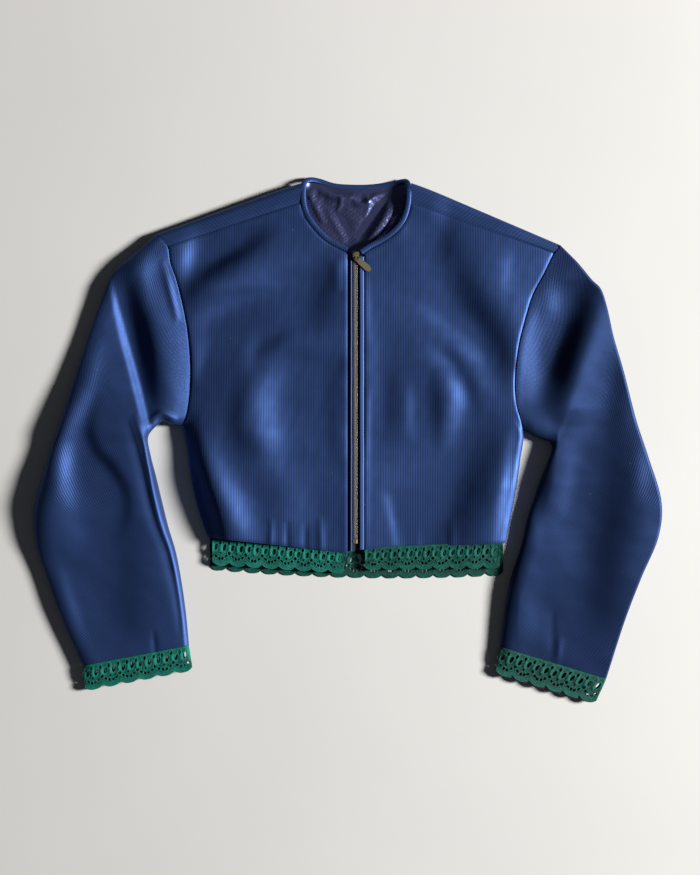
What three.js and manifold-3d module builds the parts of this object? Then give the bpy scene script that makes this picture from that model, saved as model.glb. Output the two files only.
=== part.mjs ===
// Cropped zip-front jacket with lace at the hem and cuffs, laid flat on its back.
// Millimetres, +Z up. The underside rests on Z = 0 and the neck points to +Y.
// Right and left are the wearer's own, so the right sleeve lies on the -X side.
import * as THREE from "three";
import { mergeVertices } from "three/addons/utils/BufferGeometryUtils.js";
import Module from "manifold-3d";

const wasm = await Module();
wasm.setup();

// Driving dimensions
const CLOTH = 1.5; // corded satin with its interlining, as one wall
const LINING = 1.0; // satin lining where the neck shows it
const LACE = 1.0; // corded guipure lace
const SEAM = 0.3; // clearance between neighbouring pieces
const FOLD_Z = 7.3; // height of the shoulder fold's crest
const FOLD_RADIUS = 9; // how far the shoulder fold rounds over
const SIDE_Z = 7.5; // height of the side seams
const ARMHOLE_Z = 14.5; // height of the armhole seam on the upper layer
const UNDERARM_RADIUS = 27; // how far the armhole seam dips towards the underarm
const ZIP_X = 9.5; // centre line of the zip
const CENTRE_HALF = 240; // half of the body's width, for its height table
const LACE_PITCH = 23; // one scallop of the lace

// Small helpers for tables, curves and soft shapes
const clamp = (value, low, high) => Math.min(Math.max(value, low), high);
const mix = (a, b, share) => a + (b - a) * share;

function smooth(share) {
  const s = clamp(share, 0, 1);
  return s * s * (3 - 2 * s);
}

function table(columns, rows) {
  const names = columns.split(" ");
  return rows.map((row) => Object.fromEntries(names.map((name, i) => [name, row[i]])));
}

// Catmull-Rom value of every column, share 0 at the first row and 1 at the last
function along(rows, share) {
  const place = clamp(share, 0, 1) * (rows.length - 1);
  const i = Math.min(Math.floor(place), rows.length - 2);
  const f = place - i;
  const near = [-1, 0, 1, 2].map((k) => rows[clamp(i + k, 0, rows.length - 1)]);
  const result = {};
  for (const name of Object.keys(rows[0])) {
    const [a, b, c, d] = near.map((row) => row[name]);
    const cubic = 2 * a - 5 * b + 4 * c - d + f * (3 * (b - c) + d - a);
    result[name] = b + 0.5 * f * (c - a + f * cubic);
  }
  return result;
}

// A smooth curve through the rows' x and y that is read by length from its start
function measured(rows) {
  const STEPS = 240;
  const marks = [{ ...along(rows, 0), length: 0 }];
  for (let i = 1; i <= STEPS; i += 1) {
    const point = along(rows, i / STEPS);
    const last = marks[i - 1];
    marks.push({ ...point, length: last.length + Math.hypot(point.x - last.x, point.y - last.y) });
  }
  const total = marks[STEPS].length;
  const at = (length) => {
    const wanted = clamp(length, 0, total);
    const k = clamp(marks.findIndex((mark) => mark.length >= wanted), 1, STEPS);
    const [a, b] = [marks[k - 1], marks[k]];
    const share = (wanted - a.length) / Math.max(b.length - a.length, 1e-9);
    return { x: mix(a.x, b.x, share), y: mix(a.y, b.y, share) };
  };
  return { total, at };
}

// Height of a rounded edge: 0 on the edge itself, 1 from the radius inwards
function rise(distance, radius) {
  const out = Math.max(1 - distance / radius, 0);
  return Math.sqrt(Math.max(1 - out ** 2, 0));
}

const lean = (distance, radius) => clamp(1 - distance / radius, 0, 1);

// Soft ridges and troughs: each row is a line, its bow, its width and its height
function foldHeight(folds, x, y) {
  let sum = 0;
  for (const fold of folds) {
    const run = Math.hypot(fold.x1 - fold.x0, fold.y1 - fold.y0);
    const ux = (fold.x1 - fold.x0) / run;
    const uy = (fold.y1 - fold.y0) / run;
    const q = ((x - fold.x0) * ux + (y - fold.y0) * uy) / run;
    if (q > 0 && q < 1) {
      const across = (y - fold.y0) * ux - (x - fold.x0) * uy - 4 * fold.bow * q * (1 - q);
      sum += fold.height * Math.sin(Math.PI * q) ** 0.6 * Math.exp(-((across / fold.width) ** 2));
    }
  }
  return sum;
}

// Tables of the body, in the order hem to neck
const BODY_HEIGHT = table("y centre middle side", [
  [-155, 10, 10, 9.6],
  [-110, 11.2, 12, 11.2],
  [-40, 13.0, 15.0, 13.5],
  [60, 15.0, 17.5, 15.5],
  [150, 15.5, 18.0, 15.5],
  [230, 15.5, 17.0, 15.0],
  [300, 15.0, 15.5, 14.5],
  [360, 14.5, 14.5, 14.5],
]);

const FRONT_FOLDS = table("x0 y0 x1 y1 bow width height", [
  [-222, 190, -130, 276, 10, 11, -3],
  [-216, 150, -70, 256, 16, 13, 3],
  [-196, 62, -92, 122, 8, 12, -2.8],
  [-132, 18, -40, 96, 8, 10, 2.4],
  [-116, 54, -98, -42, 4, 10, 2.0],
  [-222, 20, -116, -62, 0, 9, -2.6],
  [-204, -10, -112, -124, 6, 10, 2.4],
  [-214, -36, -188, -128, 0, 9, -2.4],
  [-108, -104, -96, -152, 0, 8, 1.6],
  [-64, -110, -58, -152, 0, 8, -1.4],
  [118, 236, 176, 140, 10, 26, -3.4],
  [104, 124, 128, -12, -14, 11, 2.6],
  [142, 152, 172, 96, -8, 10, 2.0],
  [81, 68, 82, 12, 0, 10, 2.0],
  [200, 32, 142, -18, 0, 10, -3.0],
  [219, 2, 205, -84, 0, 8, 2.2],
  [52, -76, 66, -128, 0, 9, 2.0],
  [110, -92, 112, -140, 0, 12, -2.0],
  [182, -84, 198, -118, 0, 9, 1.8],
  [84, -104, 90, -144, 0, 8, 1.5],
  [236, 182, 150, 214, 0, 14, -1.8],
]);

// Height of the upper body layer before its edges round down
function bodyTop(x, y) {
  const low = BODY_HEIGHT.findIndex((row) => row.y > y);
  const i = clamp(low < 0 ? BODY_HEIGHT.length - 1 : low, 1, BODY_HEIGHT.length - 1);
  const [a, b] = [BODY_HEIGHT[i - 1], BODY_HEIGHT[i]];
  const share = smooth((y - a.y) / (b.y - a.y));
  const out = clamp(Math.abs(x - ZIP_X) / CENTRE_HALF, 0, 1);
  const [centre, middle, side] = ["centre", "middle", "side"].map((name) => mix(a[name], b[name], share));
  const base = out < 0.5 ? mix(centre, middle, smooth(out * 2)) : mix(middle, side, smooth(out * 2 - 1));
  return base + foldHeight(FRONT_FOLDS, x, y);
}

// One side of the jacket: every outline is listed in the wearer's up or outward order
const RIGHT = {
  name: "right",
  frontX: -1,
  hemY: -152.5,
  neckY: 252,
  shoulderNeck: { x: -64.3, y: 320.1 },
  foldNeck: { x: -65, y: 347.6 },
  seamEnd: 23, // length along the armhole from the fold to the forward shoulder seam
  seamShift: -0.4,
  sideEdge: measured(
    table("x y", [
      [-189.5, -131],
      [-202, -94.5],
      [-211, -57.6],
      [-217.5, -11],
      [-224.1, 19.6],
    ]),
  ),
  armhole: measured(
    table("x y", [
      [-257.9, 278.1],
      [-243, 260.5],
      [-239, 238],
      [-231.5, 216.9],
      [-222.1, 179.1],
      [-215.5, 141.2],
      [-212.2, 99.6],
      [-213.6, 61.7],
      [-217.4, 35.2],
      [-224.1, 19.6],
    ]),
  ),
  neckline: measured(
    table("x y", [
      [-2.3, 252],
      [-15, 258.1],
      [-31.1, 267.8],
      [-46.3, 283],
      [-58.7, 301.1],
      [-64.3, 320.1],
    ]),
  ),
  sleeve: table("ox oy ix iy crest side out in", [
    [-257.9, 278.1, -224.1, 19.6, 14.5, 7.3, 9, 27],
    [-290, 251, -237.6, 20.3, 19, 8.5, 16, 22],
    [-318.6, 222.8, -248.4, 25, 23, 10, 22, 18],
    [-334.8, 182.3, -257, 20.3, 25, 11, 24, 18],
    [-349, 142, -269.3, 4, 26, 11, 26, 18],
    [-370, 81, -266, -20.3, 26, 11, 28, 20],
    [-391, 20, -258.5, -50, 25, 10.5, 28, 20],
    [-410.4, -40.5, -251.1, -81, 24, 10, 26, 20],
    [-424, -95, -242, -118, 23, 9.5, 24, 20],
    [-421.2, -141.8, -232, -152, 21, 9, 22, 20],
    [-407.7, -182.3, -224, -195, 19, 8.5, 22, 18],
    [-388, -238, -218.5, -236, 16.5, 8, 20, 16],
    [-358.4, -303.8, -214.9, -276.1, 14, 7, 16, 14],
  ]),
  sleeveFolds: table("x0 y0 x1 y1 bow width height", [
    [-262, 262, -262, 30, 2, 10, -11],
    [-322, 226, -264, 0, 6, 9, 5],
    [-246, 238, -226, 128, -4, 7, 4],
    [-232, 134, -238, 40, 0, 9, 3],
    [-352, 128, -290, -8, -8, 12, -4],
    [-398, -20, -318, -110, 10, 13, -4],
    [-342, -62, -292, -170, -6, 12, 3],
    [-412, -96, -362, -190, 8, 12, 3.5],
    [-262, -70, -236, -200, -4, 10, -3],
    [-372, -196, -330, -292, 0, 11, -3],
    [-300, -204, -288, -284, 0, 11, 2.5],
    [-252, -206, -240, -276, 0, 9, -2],
  ]),
  cuffDepth: { outer: [3.4, -35.1], inner: [5.6, -34.9] },
  laceFront: { x0: -183, y0: -134.6, x1: -5, y1: -154.2, drop: 36, fall: 28 },
};

const LEFT = {
  name: "left",
  frontX: 22,
  hemY: -148,
  neckY: 249.6,
  shoulderNeck: { x: 85, y: 318.6 },
  foldNeck: { x: 87.3, y: 348.3 },
  seamEnd: 15,
  seamShift: 0.4,
  sideEdge: measured(
    table("x y", [
      [212.4, -139],
      [219.5, -104],
      [227.5, -64],
      [233, -24],
      [236.8, 0],
      [236.3, 12.7],
    ]),
  ),
  armhole: measured(
    table("x y", [
      [286.2, 263.3],
      [276.8, 251.1],
      [263.3, 223.6],
      [248.4, 195.2],
      [236.9, 157.3],
      [229.4, 125.1],
      [224.9, 85],
      [226.6, 50],
      [236.3, 12.7],
    ]),
  ),
  neckline: measured(
    table("x y", [
      [20, 249.6],
      [28.1, 255.4],
      [45.9, 265],
      [63.9, 277.4],
      [79, 296.7],
      [85, 318.6],
    ]),
  ),
  sleeve: table("ox oy ix iy crest side out in", [
    [286.2, 263.3, 236.3, 12.7, 14.5, 7.3, 9, 27],
    [310.5, 239, 251, 5, 19, 8.5, 16, 22],
    [328.5, 217, 263.3, 1, 23, 10, 20, 18],
    [341.5, 203, 271, -2, 25, 11, 22, 18],
    [349.5, 178, 275, -9, 26, 11, 24, 18],
    [358, 140, 273, -20, 26, 11, 26, 18],
    [372, 92, 266, -37, 25, 11, 28, 20],
    [388.4, 28.5, 257.5, -58, 25, 10.5, 28, 20],
    [405, -22, 250.5, -80, 24, 10, 26, 20],
    [422.6, -81, 242.5, -104, 23, 9.5, 24, 20],
    [419, -130, 233.3, -144.5, 21, 9, 22, 20],
    [395.6, -185.8, 219.5, -187, 19, 8.5, 22, 18],
    [374, -243, 211.5, -230, 16.5, 8, 20, 16],
    [349, -321.3, 205.7, -278, 14, 7, 16, 14],
  ]),
  sleeveFolds: table("x0 y0 x1 y1 bow width height", [
    [344, 212, 276, 14, 4, 11, -12],
    [348, 196, 316, 62, 10, 9, 5],
    [292, 238, 248, 110, 6, 10, 3.5],
    [256, 150, 262, 30, 0, 10, 3.5],
    [366, 104, 330, -40, -8, 12, -3.5],
    [272, -6, 268, -96, 4, 9, -4],
    [400, -30, 340, -110, -8, 13, 3.5],
    [300, 10, 284, -120, -6, 12, 3],
    [262, -100, 256, -186, 0, 10, -3],
    [412, -110, 366, -186, -8, 12, 3],
    [372, -196, 318, -290, 0, 11, -3],
    [286, -190, 270, -286, 0, 10, 2.5],
    [240, -196, 224, -276, 0, 9, -2],
  ]),
  cuffDepth: { outer: [-15.1, -35.1], inner: [-7.7, -37.2] },
  laceFront: { x0: 23, y0: -149.8, x1: 205, y1: -141.2, drop: 28, fall: 34 },
};

// Distances along the armhole from the shoulder fold, shared by every piece that meets it
function armholeStations(side) {
  const total = side.armhole.total;
  const steps = 9;
  const start = side.seamEnd;
  const end = total - UNDERARM_RADIUS;
  const middle = [];
  for (let i = 1; i < steps; i += 1) middle.push(mix(start, end, i / steps));
  const fold = [0, 1.2, 4.5, FOLD_RADIUS];
  return [...fold, start, ...middle, end, total - 13.5, total - 3.6, total];
}

const armholeRise = (side, d) => rise(d, FOLD_RADIUS) * rise(side.armhole.total - d, UNDERARM_RADIUS);
const armholeTop = (side, d) => mix(FOLD_Z, ARMHOLE_Z, armholeRise(side, d));
const armholeFloor = (side, d) => mix(SIDE_Z, 0, rise(side.armhole.total - d, UNDERARM_RADIUS));

// Solids from surfaces
// A wall: patches are grids of {outer, inner} points, and every open border gets a rim
function wall(patches) {
  const ids = new Map();
  const outer = [];
  const inner = [];
  const idOf = (point) => {
    const key = point.outer.map((value) => Math.round(value * 500)).join(" ");
    if (!ids.has(key)) {
      ids.set(key, outer.length);
      outer.push(point.outer);
      inner.push(point.inner);
    }
    return ids.get(key);
  };
  const faces = [];
  for (const rows of patches) {
    for (let i = 0; i + 1 < rows.length; i += 1) {
      for (let j = 0; j + 1 < rows[i].length; j += 1) {
        const [a, b] = [idOf(rows[i][j]), idOf(rows[i][j + 1])];
        const [d, c] = [idOf(rows[i + 1][j]), idOf(rows[i + 1][j + 1])];
        if (a !== b && b !== c && a !== c) faces.push([a, b, c]);
        if (a !== c && c !== d && a !== d) faces.push([a, c, d]);
      }
    }
  }
  return closed(outer, inner, faces);
}

// A solid from the faces of its outer skin, the points of the inner skin, and a rim on every border
function closed(outer, inner, faces) {
  const borders = new Map();
  for (const [a, b, c] of faces) {
    for (const [from, to] of [[a, b], [b, c], [c, a]]) {
      if (!borders.delete(`${to} ${from}`)) borders.set(`${from} ${to}`, [from, to]);
    }
  }
  const count = outer.length;
  const triangles = faces.map((face) => face.slice());
  for (const [a, b, c] of faces) triangles.push([a + count, c + count, b + count]);
  for (const [a, b] of borders.values()) {
    triangles.push([b, a, a + count]);
    triangles.push([b, a + count, b + count]);
  }
  return solid([...outer, ...inner], triangles);
}

// Geometry of indexed points and triangles, turned so that its faces point out
function solid(points, triangles) {
  let volume = 0;
  for (const [a, b, c] of triangles) {
    const [p, q, r] = [points[a], points[b], points[c]];
    volume += p[0] * (q[1] * r[2] - q[2] * r[1]);
    volume += p[1] * (q[2] * r[0] - q[0] * r[2]);
    volume += p[2] * (q[0] * r[1] - q[1] * r[0]);
  }
  const order = volume < 0 ? triangles.map(([a, b, c]) => [a, c, b]) : triangles;
  const geometry = new THREE.BufferGeometry();
  geometry.setAttribute("position", new THREE.Float32BufferAttribute(points.flat(), 3));
  geometry.setIndex(order.flat());
  return geometry;
}

// A solid from closed rings of points, capped at both ends
function lofted(rings) {
  const size = rings[0].length;
  const triangles = [];
  for (let i = 0; i + 1 < rings.length; i += 1) {
    for (let j = 0; j < size; j += 1) {
      const next = (j + 1) % size;
      triangles.push([i * size + j, i * size + next, (i + 1) * size + next]);
      triangles.push([i * size + j, (i + 1) * size + next, (i + 1) * size + j]);
    }
  }
  const last = (rings.length - 1) * size;
  for (let j = 1; j + 1 < size; j += 1) {
    triangles.push([0, j + 1, j]);
    triangles.push([last, last + j, last + j + 1]);
  }
  return solid(rings.flat(), triangles);
}

const group = new THREE.Group();

function add(name, geometry, color, roughness, metalness) {
  const mesh = new THREE.Mesh(geometry, new THREE.MeshStandardMaterial({ color, roughness, metalness }));
  mesh.name = name;
  group.add(mesh);
  return mesh;
}

const addCloth = (name, geometry) => add(name, geometry, 0x2b4076, 0.5, 0);
const addLace = (name, geometry) => add(name, geometry, 0x0a7a5c, 0.75, 0);
const addBrass = (name, geometry) => add(name, geometry, 0x8f7f5c, 0.4, 1);

// Front panels: rows run from the centre front or neckline out to the side or armhole
const SIDE_ROWS = 8;
const FRONT_COLUMNS = 11;
const EDGE_STEPS = [1, 0.5, 0.13, 0]; // shares of the edge radius, from inside to the edge
const NECK_START = 0.62; // share of the outer edge below which rows end at the centre front

function frontRows(side) {
  const stations = armholeStations(side).filter((d) => d >= side.seamEnd);
  const rows = [];
  for (let i = 0; i < SIDE_ROWS; i += 1) {
    const point = side.sideEdge.at((side.sideEdge.total * i) / SIDE_ROWS);
    rows.push({ ...point, z: SIDE_Z + SEAM / 2, curl: 1, radius: 13 });
  }
  for (const d of stations.reverse()) {
    const up = side.armhole.total - d;
    const curl = lean(up, UNDERARM_RADIUS);
    const z = armholeTop(side, d) + (SEAM / 2) * curl;
    rows.push({ ...side.armhole.at(d), z, curl, radius: mix(26, 13, curl) });
  }
  let length = 0;
  rows.forEach((row, i) => {
    if (i > 0) length += Math.hypot(row.x - rows[i - 1].x, row.y - rows[i - 1].y);
    row.length = length;
  });
  for (const row of rows) {
    const share = row.length / length;
    const onNeck = share > NECK_START;
    const up = mix(side.hemY, side.neckY, share / NECK_START);
    const round = ((share - NECK_START) / (1 - NECK_START)) * side.neckline.total;
    row.inner = onNeck ? side.neckline.at(round) : { x: side.frontX, y: up };
  }
  return rows;
}

function frontPanel(side) {
  const grid = frontRows(side).map((row) => {
    const width = Math.hypot(row.x - row.inner.x, row.y - row.inner.y);
    const dx = (row.inner.x - row.x) / width;
    const dy = (row.inner.y - row.y) / width;
    const distances = [];
    for (let j = 0; j < FRONT_COLUMNS; j += 1) distances.push(mix(width, row.radius, j / FRONT_COLUMNS));
    for (const share of EDGE_STEPS) distances.push(share * row.radius);
    return distances.map((e) => {
      const x = row.x + dx * e;
      const y = row.y + dy * e;
      const z = mix(row.z, bodyTop(x, y), rise(e, row.radius));
      const tilt = row.curl * lean(e, row.radius);
      const down = Math.sqrt(1 - tilt * tilt);
      return { outer: [x, y, z], inner: [x + dx * tilt * CLOTH, y + dy * tilt * CLOTH, z - down * CLOTH] };
    });
  });
  return wall([grid]);
}

// Back panel: it lies on the floor and wraps over both shoulders to the forward seams
const BACK_NECK = table("x y", [
  [-65, 338.6],
  [-56, 346.8],
  [-46, 348.2],
  [-32, 343.9],
  [-14, 339.1],
  [18, 337.85],
  [44, 339.6],
  [62, 343.1],
  [76, 347],
  [87.3, 339.3],
]);
const WRAP_COLUMNS = 6;
const NECK_COLUMNS = 9;

function backNeckY(x) {
  const k = clamp(BACK_NECK.findIndex((row) => row.x >= x), 1, BACK_NECK.length - 1);
  const [a, b] = [BACK_NECK[k - 1], BACK_NECK[k]];
  return mix(a.y, b.y, clamp((x - a.x) / (b.x - a.x), 0, 1));
}

// The floor row under the shoulder fold, from the neck outwards
function foldPoint(side, share) {
  const tip = side.armhole.at(0);
  return { x: mix(side.foldNeck.x, tip.x, share), y: mix(side.foldNeck.y, tip.y, share) };
}

function tangentPoint(side, share) {
  const tip = side.armhole.at(FOLD_RADIUS);
  const neck = { x: side.foldNeck.x, y: side.foldNeck.y - FOLD_RADIUS };
  return { x: mix(neck.x, tip.x, share), y: mix(neck.y, tip.y, share) };
}

function seamPoint(side, share) {
  const tip = side.armhole.at(side.seamEnd);
  const neck = side.shoulderNeck;
  return { x: mix(neck.x, tip.x, share), y: mix(neck.y, tip.y, share) + SEAM };
}

function shoulderWrap(side) {
  const distances = [FOLD_RADIUS, 4.5, 1.2, 0, -1.2, -4.5, -FOLD_RADIUS];
  const columns = [];
  for (let k = 0; k <= WRAP_COLUMNS; k += 1) {
    const share = k / WRAP_COLUMNS;
    const fold = foldPoint(side, share);
    const under = tangentPoint(side, share);
    const seam = seamPoint(side, share);
    const tip = k === WRAP_COLUMNS;
    const column = distances.map((d) => {
      const end = d > 0 ? under : seam;
      const run = Math.hypot(end.x - fold.x, end.y - fold.y);
      const dx = (end.x - fold.x) / run;
      const dy = (end.y - fold.y) / run;
      const e = Math.abs(d);
      const flat = tip ? side.armhole.at(e) : { x: fold.x + dx * e, y: fold.y + dy * e };
      const tilt = lean(e, FOLD_RADIUS);
      const lift = Math.sqrt(1 - tilt * tilt) * CLOTH;
      const top = mix(bodyTop(flat.x, flat.y), ARMHOLE_Z, share ** 3);
      const z = d > 0 ? FOLD_Z * (1 - rise(e, FOLD_RADIUS)) : mix(FOLD_Z, top, rise(e, FOLD_RADIUS));
      const inner = [flat.x + dx * tilt * CLOTH, flat.y + dy * tilt * CLOTH, d > 0 ? z + lift : z - lift];
      return { outer: [flat.x, flat.y, z], inner };
    });
    const top = mix(bodyTop(seam.x, seam.y), ARMHOLE_Z, share ** 3);
    column.push({ outer: [seam.x, seam.y, top], inner: [seam.x, seam.y, top - CLOTH] });
    columns.push(column);
  }
  return columns;
}

// Rows of the floor layer: edge points on one side, from the hem to the shoulder
function backEdge(side) {
  const rows = [];
  for (let i = 0; i < SIDE_ROWS; i += 1) {
    const point = side.sideEdge.at((side.sideEdge.total * i) / SIDE_ROWS);
    rows.push({ ...point, z: SIDE_Z - SEAM / 2, curl: 1 });
  }
  const stations = armholeStations(side).filter((d) => d >= FOLD_RADIUS);
  for (const d of stations.reverse()) {
    const curl = lean(side.armhole.total - d, UNDERARM_RADIUS);
    rows.push({ ...side.armhole.at(d), z: Math.max(armholeFloor(side, d) - (SEAM / 2) * curl, 0), curl });
  }
  return rows;
}

const EDGE_RADIUS = 13;

function backPanel() {
  const right = backEdge(RIGHT);
  const left = backEdge(LEFT);
  const last = right.length - 1;
  const crown = [];
  for (let k = WRAP_COLUMNS; k > 0; k -= 1) crown.push(tangentPoint(RIGHT, k / WRAP_COLUMNS));
  for (let k = 0; k <= NECK_COLUMNS; k += 1) crown.push(along(BACK_NECK, k / NECK_COLUMNS));
  for (let k = 1; k <= WRAP_COLUMNS; k += 1) crown.push(tangentPoint(LEFT, k / WRAP_COLUMNS));
  const wide = crown[crown.length - 1].x - crown[0].x;
  const shares = crown.map((point) => (point.x - crown[0].x) / wide);
  const columnShares = (width) => {
    const edge = [0, 0.13, 0.5].map((share) => (share * EDGE_RADIUS) / width);
    return [edge, edge.map((share) => 1 - share).reverse()];
  };
  const grid = right.map((start, i) => {
    const end = left[i];
    const width = end.x - start.x;
    const [low, high] = columnShares(width);
    const all = [...low, ...shares.slice(1, -1), ...high];
    const pull = smooth((i - 2) / (last - 2));
    return all.map((share) => {
      const k = clamp(shares.findIndex((value) => value >= share), 1, shares.length - 1);
      const f = (share - shares[k - 1]) / (shares[k] - shares[k - 1]);
      const crownY = mix(crown[k - 1].y, crown[k].y, clamp(f, 0, 1));
      const chord = mix(crown[0].y, crown[crown.length - 1].y, share);
      const x = mix(start.x, end.x, share);
      const line = mix(start.y, end.y, share) - 14 * 4 * share * (1 - share) * (1 - smooth(i / 4));
      const y = line + (crownY - chord) * pull;
      const near = share < 0.5 ? start : end;
      const e = Math.min(share, 1 - share) * width;
      const inward = share < 0.5 ? 1 : -1;
      const z = near.z * (1 - rise(e, EDGE_RADIUS));
      const tilt = near.curl * lean(e, EDGE_RADIUS);
      const up = Math.sqrt(1 - tilt * tilt) * CLOTH;
      return { outer: [x, y, z], inner: [x + inward * tilt * CLOTH, y, z + up] };
    });
  });
  return wall([grid, wrapPatch(RIGHT, grid[last], true), wrapPatch(LEFT, grid[last], false)]);
}

// The wrap's lowest row is the floor layer's last row, point for point
function wrapPatch(side, crownRow, mirrored) {
  const columns = shoulderWrap(side);
  const count = crownRow.length;
  const reach = WRAP_COLUMNS + 3;
  const floor = mirrored ? crownRow.slice(0, reach).reverse() : crownRow.slice(count - reach);
  const extra = floor.length - columns.length;
  const tip = floor[floor.length - 1];
  const width = Math.abs(tip.outer[0] - floor[floor.length - 2 - extra].outer[0]);
  const full = [];
  floor.forEach((point, k) => {
    if (k < WRAP_COLUMNS) {
      full.push([point, ...columns[k].slice(1)]);
      return;
    }
    const [a, b] = [columns[WRAP_COLUMNS - 1], columns[WRAP_COLUMNS]];
    const share = 1 - Math.abs(point.outer[0] - tip.outer[0]) / width;
    const blend = (name, j) => a[j][name].map((value, axis) => mix(value, b[j][name][axis], share));
    const column = a.map((_, j) => ({ outer: blend("outer", j), inner: blend("inner", j) }));
    full.push([point, ...column.slice(1)]);
  });
  return mirrored ? full : full.map((column) => column.slice().reverse());
}

// Sleeves in two pieces, with seams along both edges from the armhole to the cuff: the under
// sleeve is flat on the surface and the upper sleeve arches over it
const SLEEVE_ROWS = [0, 0.03, 0.07, 0.115, 0.165, 0.22];
for (let share = 0.28; share < 1.01; share += 0.06) SLEEVE_ROWS.push(share);

function sleevePoint(side, share, d) {
  const row = along(side.sleeve, share);
  const total = side.armhole.total;
  const s = d / total;
  const at = side.armhole.at(d);
  const [start, end] = [side.armhole.at(0), side.armhole.at(total)];
  const hold = 1 - smooth(share / 0.3);
  const width = Math.hypot(row.ix - row.ox, row.iy - row.oy);
  const shift = side.seamShift * (1 - smooth(share / 0.1));
  return {
    x: mix(row.ox, row.ix, s) + hold * (at.x - mix(start.x, end.x, s)) + shift,
    y: mix(row.oy, row.iy, s) + hold * (at.y - mix(start.y, end.y, s)),
    dx: (row.ix - row.ox) / width,
    dy: (row.iy - row.oy) / width,
    out: s * width,
    in: (1 - s) * width,
    row,
  };
}

function sleeveSurface(side, share, d, upper) {
  const p = sleevePoint(side, share, d);
  const { row } = p;
  const round = rise(p.out, row.out) * rise(p.in, row.in);
  const folds = foldHeight(side.sleeveFolds, p.x, p.y) * smooth(share / 0.1);
  const top = Math.max(row.crest + folds, row.side + 1);
  const z = upper ? mix(row.side + SEAM / 2, top, round) : (row.side - SEAM / 2) * (1 - round);
  const tilt = lean(p.out, row.out) - lean(p.in, row.in);
  const lift = Math.sqrt(1 - tilt * tilt) * CLOTH * (upper ? -1 : 1);
  const inner = [p.x + p.dx * tilt * CLOTH, p.y + p.dy * tilt * CLOTH, z + lift];
  return { outer: [p.x, p.y, z], inner };
}

function sleeve(side, upper) {
  const stations = armholeStations(side);
  return wall([SLEEVE_ROWS.map((share) => stations.map((d) => sleeveSurface(side, share, d, upper)))]);
}

// Neck binding: an oval strip round the neck. Its front stretches lie beside the fronts'
// necklines, and this is its centre line over the shoulder folds and across the back
const BINDING_BACK = table("x y z", [
  [-60.4, 335, 13.7],
  [-59.2, 345, 11.4],
  [-54.2, 350.8, 7.8],
  [-47, 352, 4.4],
  [-37, 349.8, 2.4],
  [-16, 343.6, 1.7],
  [18.4, 342, 1.7],
  [45, 343.8, 1.8],
  [62, 347.2, 2.6],
  [71.5, 349.6, 4.8],
  [78.2, 349.2, 8.2],
  [81.4, 343.6, 12],
  [81.8, 334, 13.7],
]);
const BINDING = { halfWidth: 3.6, halfThick: 1.25, sides: 8, steps: 54, frontSteps: 7, lift: 0.3 };

// Centre line beside one front's neckline, from the centre front to the shoulder seam
function bindingFront(side) {
  const line = [];
  const total = side.neckline.total;
  for (let i = 0; i <= BINDING.frontSteps; i += 1) {
    const length = (total * i) / BINDING.frontSteps;
    const [at, next, last] = [0, 1, -1].map((step) => side.neckline.at(length + step));
    const run = Math.hypot(next.x - last.x, next.y - last.y);
    const turn = side === RIGHT ? 1 : -1;
    const away = BINDING.halfWidth + SEAM * 2;
    const x = at.x + (turn * away * (next.y - last.y)) / run;
    const y = at.y - (turn * away * (next.x - last.x)) / run;
    line.push({ x, y, z: bodyTop(at.x, at.y) - CLOTH / 2 + BINDING.lift });
  }
  return line;
}

function neckBinding() {
  const line = [...bindingFront(RIGHT), ...BINDING_BACK, ...bindingFront(LEFT).reverse()];
  const rings = [];
  for (let i = 0; i <= BINDING.steps; i += 1) {
    const share = i / BINDING.steps;
    const at = along(line, share);
    const ahead = along(line, share + 0.01);
    const behind = along(line, share - 0.01);
    const tangent = new THREE.Vector3(ahead.x - behind.x, ahead.y - behind.y, ahead.z - behind.z).normalize();
    const middle = new THREE.Vector3(ZIP_X - at.x, 305 - at.y, 0).normalize();
    const wide = middle.addScaledVector(tangent, -middle.dot(tangent)).normalize();
    const thick = new THREE.Vector3().crossVectors(tangent, wide);
    const ring = [];
    for (let j = 0; j < BINDING.sides; j += 1) {
      const angle = (2 * Math.PI * j) / BINDING.sides;
      const point = new THREE.Vector3(at.x, at.y, at.z);
      point.addScaledVector(wide, BINDING.halfWidth * Math.cos(angle));
      point.addScaledVector(thick, BINDING.halfThick * Math.sin(angle));
      ring.push(point.toArray());
    }
    rings.push(ring);
  }
  return lofted(rings);
}

// Lining of the back, built where the open neck shows it
const LINING_PIECE = { x0: -88, x1: 108, y0: 222, columns: 24, rows: 8, short: 0.1, taper: 0.9 };
const LINING_FOLDS = table("x0 y0 x1 y1 bow width height", [
  [-34, 346, 6, 300, -6, 6, 1.8],
  [8, 318, 44, 338, 4, 6, 1.8],
  [62, 322, 24, 262, -8, 8, 2.2],
  [-52, 300, -10, 262, 6, 9, 1.2],
  [48, 340, 10, 276, 0, 9, -0.2],
]);

function backLining() {
  const grid = [];
  for (let i = 0; i <= LINING_PIECE.rows; i += 1) {
    const row = [];
    for (let j = 0; j <= LINING_PIECE.columns; j += 1) {
      const x = mix(LINING_PIECE.x0, LINING_PIECE.x1, j / LINING_PIECE.columns);
      const past = Math.max(BACK_NECK[1].x - x, x - BACK_NECK[8].x, 0);
      const top = backNeckY(x) - LINING_PIECE.short - LINING_PIECE.taper * past;
      const y = mix(LINING_PIECE.y0, top, i / LINING_PIECE.rows);
      const z = CLOTH + SEAM + LINING + Math.max(foldHeight(LINING_FOLDS, x, y), 0);
      row.push({ outer: [x, y, z], inner: [x, y, z - LINING] });
    }
    grid.push(row);
  }
  return wall([grid]);
}

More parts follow.
